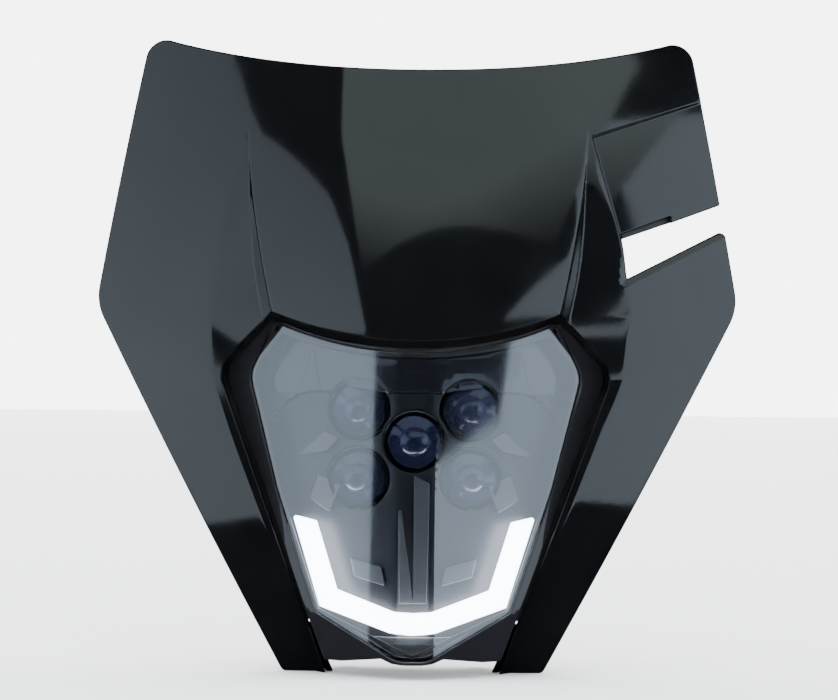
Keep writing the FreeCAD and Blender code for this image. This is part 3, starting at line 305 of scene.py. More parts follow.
def round_path(corners, spacing=1.6, arc_spacing=0.8):
    """A closed outline as an array of points, from (x, z, radius) corners."""
    points = [np.array(corner[:2], float) for corner in corners]
    path = []
    for place, (_, _, radius) in enumerate(corners):
        before, here, after = points[place - 1], points[place], points[(place + 1) % len(points)]
        into = (here - before) / np.linalg.norm(here - before)
        out = (after - here) / np.linalg.norm(after - here)
        turn = math.acos(np.clip(into @ out, -1, 1))
        if radius <= 0 or turn < 0.01:
            path.append(here)
            continue
        back = radius * math.tan(turn / 2)
        middle = here + (out - into) / np.linalg.norm(out - into) * radius / math.cos(turn / 2)
        start = here - into * back - middle
        steps = max(3, math.ceil(turn * radius / arc_spacing))
        side = 1 if into[0] * out[1] - into[1] * out[0] > 0 else -1
        for angle in np.linspace(0, side * turn, steps + 1):
            cos, sin = math.cos(angle), math.sin(angle)
            path.append(middle + np.array([start[0] * cos - start[1] * sin, start[0] * sin + start[1] * cos]))
    return resampled(np.array(path), spacing)


def resampled(path, spacing):
    """Long runs of a closed path are divided, and its own points are kept."""
    points = []
    for start, end in zip(path, np.roll(path, -1, axis=0)):
        pieces = max(1, math.ceil(np.linalg.norm(end - start) / spacing))
        points += [start + (end - start) * step / pieces for step in range(pieces)]
    return np.array(points)


def arc_through(left, middle, right, count):
    """Points on the arc through three points, its ends left out."""
    (ax, ay), (bx, by), (cx, cy) = left, middle, right
    bulk = 2 * (ax * (by - cy) + bx * (cy - ay) + cx * (ay - by))
    a_square, b_square, c_square = ax * ax + ay * ay, bx * bx + by * by, cx * cx + cy * cy
    ux = (a_square * (by - cy) + b_square * (cy - ay) + c_square * (ay - by)) / bulk
    uy = (a_square * (cx - bx) + b_square * (ax - cx) + c_square * (bx - ax)) / bulk
    radius = math.hypot(ax - ux, ay - uy)
    side = 1 if by > uy else -1
    return [(x, uy + side * math.sqrt(radius ** 2 - (x - ux) ** 2))
            for x in np.linspace(ax, cx, count + 2)[1:-1]]


def crossing(first, first_run, second, second_run):
    """Where two lines meet, each given by a point and a direction."""
    matrix = np.array([first_run, [-second_run[0], -second_run[1]]], float).T
    along = np.linalg.solve(matrix, np.array(second, float) - np.array(first, float))
    return np.array(first, float) + along[0] * np.array(first_run, float)


def turned_right(loop):
    """The loop in anticlockwise order."""
    nxt = np.roll(loop, -1, axis=0)
    area = np.sum(loop[:, 0] * nxt[:, 1] - nxt[:, 0] * loop[:, 1])
    return loop if area > 0 else loop[::-1].copy()


def inward(loop):
    """Direction into the area of an anticlockwise loop, at each point, lengthened at its corners."""
    run = np.roll(loop, -1, axis=0) - loop
    run /= np.linalg.norm(run, axis=1)[:, None]
    left = np.stack([-run[:, 1], run[:, 0]], axis=1)
    mean = left + np.roll(left, 1, axis=0)
    size = np.linalg.norm(mean, axis=1)
    mean /= size[:, None]
    return mean / np.clip(size / 2, 0.5, 1)[:, None]


def inside(points, loop):
    """Which points lie in a closed loop."""
    x, z = points[:, 0][:, None], points[:, 1][:, None]
    ax, az = loop[:, 0], loop[:, 1]
    bx, bz = np.roll(ax, -1), np.roll(az, -1)
    crosses = (az > z) != (bz > z)
    slope = (bx - ax) / np.where(bz == az, 1e-9, bz - az)
    return (crosses & (x < ax + (z - az) * slope)).sum(axis=1) % 2 == 1


def in_area(points, loops):
    """Which points lie in the first loop and in none of the holes that follow it."""
    keep = inside(points, loops[0])
    for hole in loops[1:]:
        keep &= ~inside(points, hole)
    return keep


def distance_to(points, loop):
    """Distance of each point from the nearest run of a loop."""
    start, run = loop, np.roll(loop, -1, axis=0) - loop
    best = np.full(len(points), 1e9)
    for a, r in zip(start, run):
        along = np.clip(((points - a) @ r) / max(r @ r, 1e-9), 0, 1)
        best = np.minimum(best, np.linalg.norm(points - a - along[:, None] * r, axis=1))
    return best


def filled(loops, spacing, extra, edge_room=0.35):
    """Triangles over an area: its outer loop, its holes, a grid of points and some extra ones."""
    low, high = loops[0].min(axis=0), loops[0].max(axis=0)
    columns, rows = np.arange(low[0], high[0], spacing), np.arange(low[1], high[1], spacing * 0.9)
    grid = np.stack(np.meshgrid(columns, rows), axis=-1)
    grid[1::2, :, 0] += spacing / 2
    points = grid.reshape(-1, 2)
    points = points[in_area(points, loops)]
    for loop in loops:
        points = points[distance_to(points, loop) > spacing * 0.55]
    if len(extra):
        extra = extra[inside(extra, loops[0])]
        for loop in loops:
            extra = extra[distance_to(extra, loop) > edge_room]
        points = np.vstack([points, extra])
    edges, start = [], 0
    for loop in loops:
        edges += [(start + place, start + (place + 1) % len(loop)) for place in range(len(loop))]
        start += len(loop)
    every = np.vstack(loops + [points])
    coords, _, faces, origins, _, _ = delaunay_2d_cdt([Vector(point) for point in every], edges, [], 0, 1e-6)
    flat = np.array([tuple(point) for point in coords])
    triangles = np.array([list(corners) for corners in faces])
    triangles = triangles[in_area(flat[triangles].mean(axis=1), loops)]
    place_of = np.full(start, -1)
    for made, sources in enumerate(origins):
        for source in sources:
            if source < start:
                place_of[source] = made
    a, b, c = (flat[triangles[:, k]] for k in range(3))
    turn = (b[:, 0] - a[:, 0]) * (c[:, 1] - a[:, 1]) - (b[:, 1] - a[:, 1]) * (c[:, 0] - a[:, 0])
    triangles[turn < 0] = triangles[turn < 0][:, ::-1]
    return flat, triangles, place_of


def in_front_view(across, up, depth):
    return np.stack([across, depth, up], axis=-1)


def plate(loops, front, wall, spacing=2.5, edge=0.6, flange=None, extra=(), back=None,
          to_space=in_front_view, crisp=0.35):
    """Points and faces of a plate over an outline, with rounded edges. Its front follows a height
    over the outline's plane, its back lies a wall behind it, and a flange may run deeper along part
    of an edge: flange gives the depth and the width at each point of a loop."""
    loops = [turned_right(loop) if place == 0 else turned_right(loop)[::-1].copy()
             for place, loop in enumerate(loops)]
    rear = back or (lambda x, z: front(x, z) + wall)
    angles = np.radians([0, 22.5, 45, 67.5, 90])
    rims, front_loops, back_loops = [], [], []
    for loop in loops:
        into = inward(loop)
        deep, wide = np.zeros((2, len(loop))) if flange is None else flange(loop)
        has = wide > 0
        rows = []
        for angle in angles:
            at = loop + into * edge * (1 - math.sin(angle))
            rows.append((at, front(at[:, 0], at[:, 1]) + edge * (1 - math.cos(angle))))
        edge_y = front(loop[:, 0], loop[:, 1])
        foot = np.where(has, edge_y + deep, rear(loop[:, 0], loop[:, 1]))
        last = np.where(has, wide, 4 * crisp)
        rows.append((loop, foot - crisp))
        rows.append((loop + into * crisp, foot))
        at = loop + into * np.where(has, wide - crisp, 2 * crisp)[:, None]
        rows.append((at, np.where(has, foot, rear(at[:, 0], at[:, 1]))))
        at = loop + into * np.where(has, wide, 3 * crisp)[:, None]
        rows.append((at, np.where(has, foot - crisp, rear(at[:, 0], at[:, 1]))))
        at = loop + into * last[:, None]
        rows.append((at, rear(at[:, 0], at[:, 1])))
        front_loops.append(rows[0][0])
        back_loops.append(rows[-1][0])
        rims.append(rows)
    extra = np.array(extra).reshape(-1, 2)
    flat, triangles, place_of = filled(front_loops, spacing, extra)
    back_flat, back_triangles, back_place = filled(back_loops, spacing * 1.6, extra)
    front_points = to_space(flat[:, 0], flat[:, 1], front(flat[:, 0], flat[:, 1]))
    back_points = to_space(back_flat[:, 0], back_flat[:, 1], rear(back_flat[:, 0], back_flat[:, 1]))
    points = [front_points, back_points]
    faces = [tuple(corners) for corners in triangles]
    faces += [tuple(corners[::-1] + len(front_points)) for corners in back_triangles]
    base = len(front_points) + len(back_points)
    start = 0
    for rows in rims:
        count = len(rows[0][0])
        rings = [place_of[start:start + count]]
        for at, depth in rows[1:-1]:
            points.append(to_space(at[:, 0], at[:, 1], depth))
            rings.append(np.arange(base, base + count))
            base += count
        rings.append(back_place[start:start + count] + len(front_points))
        for upper, lower in zip(rings, rings[1:]):
            for here in range(count):
                after = (here + 1) % count
                faces.append((upper[here], lower[here], lower[after], upper[after]))
        start += count
    return np.vstack(points), faces


def piece_mesh(name, points, faces, smooth_angle=35):
    """A mesh object from points in millimetres, shaded smooth up to an angle."""
    mesh = bpy.data.meshes.new(name)
    mesh.from_pydata((np.asarray(points) * MM).tolist(), [], [[int(c) for c in corners] for corners in faces])
    made = bmesh.new()
    made.from_mesh(mesh)
    bmesh.ops.remove_doubles(made, verts=made.verts, dist=1e-7)
    bmesh.ops.recalc_face_normals(made, faces=made.faces)
    made.to_mesh(mesh)
    made.free()
    mesh.polygons.foreach_set("use_smooth", [True] * len(mesh.polygons))
    mesh.set_sharp_from_angle(angle=math.radians(smooth_angle))
    made = bpy.data.objects.new(name, mesh)
    bpy.context.scene.collection.objects.link(made)
    return made


def surface_normals(piece, front, step=0.05, margin=0.02):
    """Sets the normals on a piece's front from the slope of its height over a step to both sides,
    so that reflections run smoothly."""
    mesh = piece.data
    count = len(mesh.vertices)
    at = np.zeros(count * 3)
    mesh.vertices.foreach_get("co", at)
    at = at.reshape(-1, 3) / MM
    normal = np.zeros(count * 3)
    mesh.vertices.foreach_get("normal", normal)
    normal = normal.reshape(-1, 3)
    x, depth, z = at.T
    on_front = np.abs(front(x, z) - depth) < margin
    slope_x = (front(x + step, z) - front(x - step, z)) / (2 * step)
    slope_z = (front(x, z + step) - front(x, z - step)) / (2 * step)
    smooth = np.stack([slope_x, -np.ones(count), slope_z], axis=1)
    smooth /= np.linalg.norm(smooth, axis=1)[:, None]
    normal[on_front] = smooth[on_front]
    mesh.normals_split_custom_set_from_vertices(normal.tolist())


top_mid_z, top_corner_x, top_corner_z, top_corner_round = 277.0, 134.5, 299.5, 10.0
wing_tip_x, wing_tip_z, wing_tip_round = 157.7, 165.0, 24.0
foot_x, foot_z, foot_round = 62.0, -10.0, 3.0
window_x, window_z, window_round, window_foot_x = 94.5, 133.8, 14.0, 41.0
flange_depth, flange_wall = 12.0, 2.2
top_arc_x, top_arc_z = top_corner_x + 10, top_corner_z + 3.5
arc = arc_through((-top_arc_x, top_arc_z), (0, top_mid_z), (top_arc_x, top_arc_z), 61)
wing_run = np.array([wing_tip_x - top_corner_x, wing_tip_z - top_corner_z])
near_corner = min(arc, key=lambda point: abs(point[0] - top_corner_x) + abs(point[1] - top_corner_z))
corner_at = crossing((top_corner_x, top_corner_z), wing_run, near_corner,
                     np.array([top_arc_x, top_arc_z]) - np.array(near_corner))
arc = [point for point in arc if abs(point[0]) < corner_at[0] - 14]
slot_mouth_top = crossing((top_corner_x, top_corner_z), wing_run, (slot_x, slot_top_z), (1, slot_rise_top))
slot_mouth_low = crossing((top_corner_x, top_corner_z), wing_run, slot_low, (1, slot_rise_low))
brow_arc = arc_through((-brow_x, brow_z), (0, brow_mid_z), (brow_x, brow_z), 41)
mask_loop = round_path(
    [(foot_x, foot_z, foot_round), (wing_tip_x, wing_tip_z, wing_tip_round), (*slot_mouth_low, 3.0),
     (*slot_low, 0.6), (slot_x, slot_top_z + notch_high, 0.6),
     (slot_x + notch_long, slot_top_z + notch_high + slot_rise_top * notch_long, 0.4),
     (slot_x + notch_long, slot_top_z + slot_rise_top * notch_long, 0.3), (*slot_mouth_top, 1.0),
     (*corner_at, top_corner_round)]
    + [(x, z, 0) for x, z in reversed(arc)]
    + [(-corner_at[0], corner_at[1], top_corner_round), (-wing_tip_x, wing_tip_z, wing_tip_round),
       (-foot_x, foot_z, foot_round), (-window_foot_x, foot_z, 0.5), (-window_x, window_z, window_round),
       (-brow_x, brow_z, 1.0)] + [(x, z, 0) for x, z in brow_arc]
    + [(brow_x, brow_z, 1.0), (window_x, window_z, window_round), (window_foot_x, foot_z, 0.5)])


def window_flange(loop):
    """Depth and width of the flange, on the points that lie on the window's edge."""
    limit = window_foot_x + (loop[:, 1] - foot_z) * (window_x - window_foot_x) / (window_z - foot_z) + 0.6
    on_window = (np.abs(loop[:, 0]) < limit) & (loop[:, 1] < brow_z + 2) & (loop[:, 1] > foot_z + 0.8)
    return np.where(on_window, flange_depth, 0), np.where(on_window, flange_wall, 0)


def beside(line, low, high, offsets, spacing=1.8):
    """Points along a crease on both halves, and at small offsets beside it."""
    z = np.arange(low, high, spacing)
    x = line(z)
    rows = [np.stack([side * (x + offset), z], axis=1) for side in (-1, 1) for offset in offsets]
    return np.vstack(rows)


near = (-2.2, -1.3, -0.7, -0.3, 0, 0.3, 0.7, 1.3, 2.2)
creases = [beside(ridge_line, foot_z, spear_tip_z + 2, near),
           beside(lambda z: ridge_line(z) + ridge_pull(z), 90, spear_tip_z - 8, near[2:-2]),
           beside(brow_line, foot_z, spear_tip_z + 2, near),
           beside(channel_root, foot_z, spear_tip_z - 6, near)]
pocket_rows = np.arange(pocket_low, pocket_z, 1.0)
pocket_left = pocket_x + pocket_lean * (pocket_z - pocket_rows)
pocket_columns = np.arange(pocket_x, top_corner_x + 14, 1.0)
pocket_top = pocket_z + pocket_rise * (pocket_columns - pocket_x)
foot_columns = pocket_columns[pocket_columns > pocket_left[0]]
foot_line = pocket_low + foot_rise * (foot_columns - pocket_left[0])
for offset in (-1.1, -0.6, -0.4, -0.2, 0, 0.2, 0.4, 0.6, 1.1):
    creases += [np.stack([pocket_left + offset, pocket_rows], axis=1),
                np.stack([pocket_columns, pocket_top + offset], axis=1),
                np.stack([foot_columns, foot_line + offset], axis=1)]
bevel_columns = np.arange(slot_low[0] - 3, wing_tip_x, 1.5)
for offset in (0.8, 1.6, 2.4, 2.9, 3.2, 3.5, 4.2):
    down = slot_rise_low * np.maximum(bevel_columns - slot_low[0], 0) - offset * math.hypot(1, slot_rise_low)
    creases.append(np.stack([bevel_columns, slot_low[1] + down], axis=1))


def block(x, y, z, edge=0.5):
    """Points and faces of a block with bevelled edges, in millimetres."""
    made = bmesh.new()
    bmesh.ops.create_cube(made, size=1.0)
    for vertex in made.verts:
        vertex.co = Vector([(low + high) / 2 + share * (high - low)
                            for share, (low, high) in zip(vertex.co, (x, y, z))])
    bmesh.ops.bevel(made, geom=made.edges, offset=edge, segments=3, affect="EDGES", profile=0.5)
    return taken(made)


def taken(made):
    """Points and faces of a bmesh, which is then freed."""
    made.verts.index_update()
    points = np.array([tuple(vertex.co) for vertex in made.verts])
    faces = [tuple(vertex.index for vertex in corners.verts) for corners in made.faces]
    made.free()
    return points, faces


def spun(profile, place, axis, count=48):
    """Points and faces of a turned form: (radius, height) pairs round an axis through a place."""
    axis = Vector(axis).normalized()
    turn = axis.to_track_quat("Z", "Y").to_matrix()
    angles = np.linspace(0, 2 * math.pi, count, endpoint=False)
    points, rings = [], []
    for radius, height in profile:
        turns = angles if radius > 1e-6 else [0]
        ring = [(radius * math.cos(a), radius * math.sin(a), height) for a in turns]
        rings.append(range(len(points), len(points) + len(ring)))
        points += [tuple(turn @ Vector(point) + Vector(place)) for point in ring]
    faces = []
    for lower, upper in zip(rings, rings[1:] + rings[:1]):
        for here in range(count):
            corners = [lower[here % len(lower)], lower[(here + 1) % count % len(lower)],
                       upper[(here + 1) % count % len(upper)], upper[here % len(upper)]]
            corners = list(dict.fromkeys(corners))
            if len(corners) > 2:
                faces.append(tuple(corners))
    return np.array(points), faces


def joined(name, forms, smooth_angle=35):
    """One object from several closed forms."""
    points, faces, start = [], [], 0
    for form_points, form_faces in forms:
        points.append(np.asarray(form_points))
        faces += [tuple(int(corner) + start for corner in corners) for corners in form_faces]
        start += len(form_points)
    return piece_mesh(name, np.vstack(points), faces, smooth_angle)


def from_side(across, up, depth):
    """Places a plate that is drawn looking along the X axis."""
    return np.stack([depth, across, up], axis=-1)


def circle(x, z, radius, count=40):
    angles = np.linspace(0, 2 * math.pi, count, endpoint=False)
    return np.stack([x + radius * np.cos(angles), z + radius * np.sin(angles)], axis=1)


def from_above(across, along, height):
    """Places a plate that is drawn looking down."""
    return np.stack([across, along, height], axis=-1)


def level(height):
    return lambda across, up: np.full(np.shape(across), float(height))


def behind_face(x, z):
    """Depth at which a fixing starts, inside the wall over its whole width and height."""
    corners = np.meshgrid(np.array(x, float), np.array(z, float))
    return float(mask_front(*corners).max()) + 0.6


tab_mid_y, tab_top_z, tab_thick, tab_half, tab_rear = -6.0, 252.0, 4.0, 20.0, 8.0
grommet_hole, bush_hole, pivot_y, pivot_z = 7.0, 4.55, 10.0, 130.0
ear_inner, ear_thick, ear_low, ear_high, ear_rear = 93.5, 3.5, 117, 143, 20
arm_inner, arm_outer, arm_low, arm_high = 48, 53, 3, 11
bar_half, bar_low, bar_edge, peg_x = 5, 6, 0.8, 31
peg_profile = [(0, -6), (3.2, -6), (3.8, -5.6), (4, -5), (4, 6.6), (0, 6.6)]
rib_x, rib_thick, rib_low, rib_high, rib_span = 17.5, 2.5, 226, 249, (17, 20)
lug_x, lug_thick, lug_front, lug_rear, lug_low, lug_high = 3.3, 3.0, 0.5, 17.5, 8, 25
lip_outline, lip_depth = ((41.3, -9.9), (49.4, 12.8), (47.2, 12.8), (37.8, -9.9)), flange_depth - 2
mask_forms = [plate([mask_loop], mask_front, mask_wall, 2.6, 0.8, window_flange, np.vstack(creases))]
for side in (-1, 1):
    ear_x = ear_inner if side > 0 else -ear_inner - ear_thick
    ear_front = behind_face((ear_inner, ear_inner + ear_thick), (ear_low, ear_high))
    ear = round_path([(ear_front, ear_low, 0.6), (ear_rear, ear_low, 5), (ear_rear, ear_high, 5),
                      (ear_front, ear_high, 0.6)])
    mask_forms.append(plate([ear, circle(pivot_y, pivot_z, bush_hole)], level(ear_x), ear_thick, 4, 0.4,
                            to_space=from_side))
    arm_front = behind_face((arm_inner, arm_outer), (arm_low, arm_high))
    mask_forms.append(block(sorted((side * arm_inner, side * arm_outer)), (arm_front, bar_half),
                            (arm_low, arm_high), bar_edge))
    mask_forms.append(spun(peg_profile, (side * peg_x, 0, 0), (0, 0, 1)))
    rib = np.array([(behind_face(rib_span, (rib_high, rib_high)), rib_high), (tab_rear - 2, rib_high),
                    (behind_face(rib_span, (rib_low, rib_low)), rib_low)])
    mask_forms.append(plate([resampled(rib, 2.5)], level(rib_x if side > 0 else -rib_x - rib_thick),
                            rib_thick, 4, 0.4, to_space=from_side))
mask_forms.append(block((-arm_outer, arm_outer), (-bar_half, bar_half), (bar_low, arm_high), bar_edge))
lug = round_path([(lug_front, lug_low, 0.5), (lug_rear, lug_low, 0.5), (lug_rear, lug_high, 3),
                  (lug_front, lug_high, 3)])
mask_forms.append(plate([lug], level(lug_x), lug_thick, 4, 0.4, to_space=from_side))
for side in (-1, 1):
    lip = round_path([(side * x, z, 0.4) for x, z in lip_outline])
    mask_forms.append(plate([lip], lambda x, z: mask_front(x, z) + lip_depth, 2, 3, 0.3))
tab_front = behind_face((0, tab_half), (tab_top_z - tab_thick, tab_top_z))
tab = round_path([(-tab_half, tab_front, 0.5), (tab_half, tab_front, 0.5), (tab_half, tab_rear, 5),
                  (-tab_half, tab_rear, 5)])
mask_forms.append(plate([tab, circle(0, tab_mid_y, grommet_hole)], level(tab_top_z - tab_thick), tab_thick, 4,
                        0.4, to_space=from_above))
mask = joined("mask", mask_forms, 40)
surface_normals(mask, mask_front)

gloss = Finish("mask_plastic")
peel = gloss.noise(420, 1.0) * 0.7 + gloss.noise(90, 1.0) * 0.5
smudge = gloss.noise(34, 4.0, 0.6)
worn = gloss.ramp(smudge, 0.35, 0.7)
mask.data.materials.append(gloss.done(gloss.surface(
    base_color=gloss.mix(worn, (0.002, 0.0022, 0.0027, 1), (0.003, 0.0033, 0.0039, 1)),
    roughness=gloss.ramp(smudge, 0.35, 0.75, 0.05, 0.085), specular_ior_level=0.5,
    normal=gloss.bump(peel, 0.00002, 0.35))))
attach(mask, "mask")
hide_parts("mask_shell")


# Hose clip: a small bar of dull black plastic along the slot's upper edge. It is clipped on
# behind the mask's wall and shows as a dark strip in the notch there.
clip_start, clip_end, clip_low, clip_high, clip_slant = -1.4, 26.6, 0.3, 6.5, 0.6
clip_gap, clip_thick = 0.1, 2.5
clip_corners = [(slot_x + step, slot_top_z + slot_rise_top * step + up, 0.4)
                for step, up in ((clip_start, clip_low + clip_slant), (clip_end, clip_low),
                                 (clip_end, clip_high), (clip_start, clip_high))]


def behind_wall(x, z):
    return mask_front(x, z) + mask_wall + clip_gap


clip = piece_mesh("clip", *plate([round_path(clip_corners)], behind_wall, clip_thick, 2.5, 0.3))
dull = Finish("clip_plastic")
dust = dull.noise(90, 3.0)
clip.data.materials.append(dull.done(dull.surface(
    base_color=dull.mix(dust, (0.006, 0.006, 0.007, 1), (0.010, 0.010, 0.012, 1)),
    roughness=dull.ramp(dust, 0.3, 0.7, 0.4, 0.55))))
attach(clip, "mask")
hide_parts("hose_clip")


# Lamp frame: the black gloss rim of the lamp, moulded in one piece with a ledge that the lens is
# glued on. Its front follows the lamp's folded face.
keel_half, keel_round, side_slope, side_bow, half_reach = 5.639, 10.0, 0.5, 1.789, 44.56
lamp_top_y, lamp_top_z, lamp_lean = -48.0, 145.0, 14.0 / 145.0
turn_end, turn_rise = 10.111, 1.0557


def lamp_face(x, z):
    side = np.abs(x)
    rounded = keel_round - np.sqrt(np.maximum(keel_round ** 2 - np.clip(side - keel_half, 0, 5) ** 2, 0))
    share = (side - turn_end - half_reach) / half_reach
    swept = turn_rise + side_slope * (side - turn_end) - side_bow * (1 - share ** 2)
    return lamp_top_y - lamp_lean * (lamp_top_z - z) + np.where(side < turn_end, rounded, swept)


def setback(depth):
    """The lamp's face, set back by a depth."""
    return lambda x, z: lamp_face(x, z) + depth


def mirrored_path(right):
    """A closed path from its right half, which starts and ends on the middle line."""
    left = [(-x, z, radius) for x, z, radius in reversed(right) if abs(x) > 1e-6]
    return round_path(right + left)


def shifted(loop, amount):
    """A closed loop moved outwards, or inwards where the amount is below 0."""
    loop = turned_right(loop)
    return loop - inward(loop) * amount


lens_corner_x, lens_corner_z, lens_mid_z = 67.5, 156.2, 142.0
lens_foot_x, lens_foot_z, lens_foot_rise, foot_fall = 6.9, -1.4, 0.554, 0.3
lens_top = [(x, z, 0) for x, z in arc_through((-lens_corner_x, lens_corner_z), (0, lens_mid_z),
                                              (lens_corner_x, lens_corner_z), 61)]
lens_side = [(lens_corner_x, lens_corner_z, 4.0), (79.3, 131, 14), (65.2, 77, 0), (45.5, 20, 3),
             (lens_foot_x, lens_foot_z, 15), (0, lens_foot_z, 0)]
lens_loop = mirrored_path([point for point in lens_top if 0 <= point[0] < lens_corner_x - 5] + lens_side)
keel_columns = (4.6, 5.7, 7, 8.5, 10.1, 11.5)
keel_points = [beside(lambda z: np.full(len(z), x), -4, 160, (0,), 2.2) for x in keel_columns]


def moved_out(at, run, amount):
    """A point moved by an amount, square to a run and to its right."""
    return np.array(at) + np.array([run[1], -run[0]]) / np.linalg.norm(run) * amount


window_shift, frame_drop = 1.8, 3.2
frame_arc = [(x, z - frame_drop, 0)
             for x, z in arc_through((-brow_x, brow_z), (0, brow_mid_z), (brow_x, brow_z), 61)]
side_run = np.array([window_x - brow_x, window_z - brow_z])
low_run = np.array([window_foot_x - window_x, foot_z - window_z])
side_at = moved_out((brow_x, brow_z), side_run, window_shift)
low_at = moved_out((window_foot_x, foot_z), low_run, window_shift)
arc_end, arc_before = frame_arc[-1], frame_arc[-3]
arc_slope = (arc_end[1] - arc_before[1]) / (arc_end[0] - arc_before[0])
frame_top = crossing(side_at, side_run, arc_end[:2], (1, arc_slope))
frame_wide = crossing(side_at, side_run, low_at, low_run)
frame_low = crossing(low_at, low_run, (0, -3.5), (157.7, 2.5))
frame_foot = [(33, -2.9, 0), (14.5, -0.6, 1.0), (9.5, -2.7, 1.0), (3.8, -3.3, 0.5), (0, -3.3, 0)]
frame_side = [(*frame_top, 1.0), (*frame_wide, window_round - window_shift), (*frame_low, 1.0)]
frame_loop = mirrored_path([point for point in frame_arc if 0 <= point[0] < frame_top[0] - 1.5]
                           + frame_side + frame_foot)


def frame_face(x, z):
    """The frame follows the lens and falls back below it."""
    lens_edge = lens_foot_z + lens_foot_rise * (np.abs(x) - lens_foot_x)
    return lamp_face(x, z) + foot_fall * np.clip(lens_edge - 0.6 - z, 0, 20)


rim_deep, ledge_depth, ledge_thick = 8, 3.8, 4.1
rim = plate([frame_loop, shifted(lens_loop, 0.2)], frame_face, rim_deep, 2.4, 0.8, back=setback(rim_deep),
            extra=np.vstack(keel_points))
ledge = plate([shifted(lens_loop, 1.2), shifted(lens_loop, -1.6)], setback(ledge_depth), ledge_thick, 3, 0.3)
lamp_frame = joined("lamp_rim", [rim, ledge], 40)
surface_normals(lamp_frame, frame_face)
piano = Finish("frame_plastic")
haze = piano.noise(60, 3.0)
lamp_frame.data.materials.append(piano.done(piano.surface(
    base_color=piano.mix(haze, (0.006, 0.006, 0.008, 1), (0.010, 0.010, 0.012, 1)),
    roughness=piano.ramp(haze, 0.3, 0.7, 0.06, 0.11),
    normal=piano.bump(piano.noise(300, 1.0), 0.00001, 0.3))))
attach(lamp_frame, "lamp")
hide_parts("lamp_frame")


# Front lens: one clear moulding, folded along the keel strip and glued on the frame's ledge. Its
# outer side has a hard coat, so that it looks grey where it mirrors a light.
lens = piece_mesh("lens", *plate([lens_loop], lamp_face, 2.5, 2.4, 0.5, extra=np.vstack(keel_points)), 40)
surface_normals(lens, lamp_face, 1.2)
clear = Finish("clear_lens")
film = clear.noise(40, 3.0)
shine = clear.surface(base_color=clear.mix(film, (0.86, 0.89, 0.95, 1), (0.92, 0.94, 0.98, 1)), metallic=1.0,
                      roughness=clear.ramp(film, 0.3, 0.7, 0.03, 0.06),
                      normal=clear.bump(clear.noise(60, 0.0), 0.00002, 0.25))
through = clear.node("ShaderNodeBsdfTransparent", {}, {"Color": (0.88, 0.90, 0.93, 1)})
facing = clear.node("ShaderNodeFresnel", {}, {"IOR": 2.1})
outer_side = 1.0 - clear.node("ShaderNodeNewGeometry", {}, {}, "Backfacing")
coated_glass = clear.node("ShaderNodeMixShader", {}, {0: facing * outer_side, 1: through, 2: shine})
lens.data.materials.append(clear.done(coated_glass))
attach(lens, "lamp")
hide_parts("front_lens")


# Inner bezel: a dark satin plate behind the lens with round openings for the light units. Blades,
# fins, trays and a keel rib stand up from it, all in one moulding. The raised forms and the keel
# rib's foot are coloured lighter than the plate, a painted highlight.
bezel_setback, bezel_inset, bezel_low_z, hole_room = 16.0, 4.6, 5, 1.9
unit_x, unit_upper_z, unit_mid_z, unit_lower_z, unit_radius = 26.4, 114.7, 100.0, 82.4, 13.0
unit_spots = [(0.0, unit_mid_z), (-unit_x, unit_upper_z), (unit_x, unit_upper_z), (-unit_x, unit_lower_z),
              (unit_x, unit_lower_z)]
bezel_loop = shifted(frame_loop, -bezel_inset)
bezel_loop = resampled(bezel_loop[bezel_loop[:, 1] > bezel_low_z], 2.0)
holes = [circle(x, z, unit_radius + hole_room) for x, z in unit_spots]
shelf_z, shelf_high, shelf_flat, shelf_bend, shelf_slope = 123.0, 2.6, 48, 0.03, 1.2


def shelf_edge(x):
    """Height of the shelf's edge, which is level in the middle and falls to both sides."""
    return shelf_z - shelf_bend * np.maximum(np.abs(x) - shelf_flat, 0) ** 2


def shelf(x, z):
    """1 above the shelf's edge, 0 below it."""
    return np.clip((z - shelf_edge(x)) / shelf_slope + 0.5, 0, 1)


def bezel_front(x, z):
    return lamp_face(x, z) + bezel_setback - shelf_high * shelf(x, z)


shelf_columns = np.arange(-72, 72, 2.0)
shelf_points = [np.stack([shelf_columns, shelf_edge(shelf_columns) + offset], axis=1)
                for offset in (-1.2, -0.6, 0.6, 1.2)]
bezel_forms = [plate([bezel_loop] + holes, bezel_front, 2.0, 3, 0.6,
                     extra=np.vstack(keel_points[:4] + shelf_points))]
tip_depth = 8.6
tip = round_path([(-22, 9, 0.5), (-9, -1.9, 0.5), (9, -1.9, 0.5), (22, 9, 0.5)])
bezel_forms.append(plate([tip], setback(tip_depth), 2, 2.5, 0.3, extra=np.vstack(keel_points)))
guide_low_z, guide_turn_x, guide_turn_z, guide_width = 10.0, 44.0, 22.0, 10.5
guide_tip_x, guide_tip_z = 57.6, 64.3
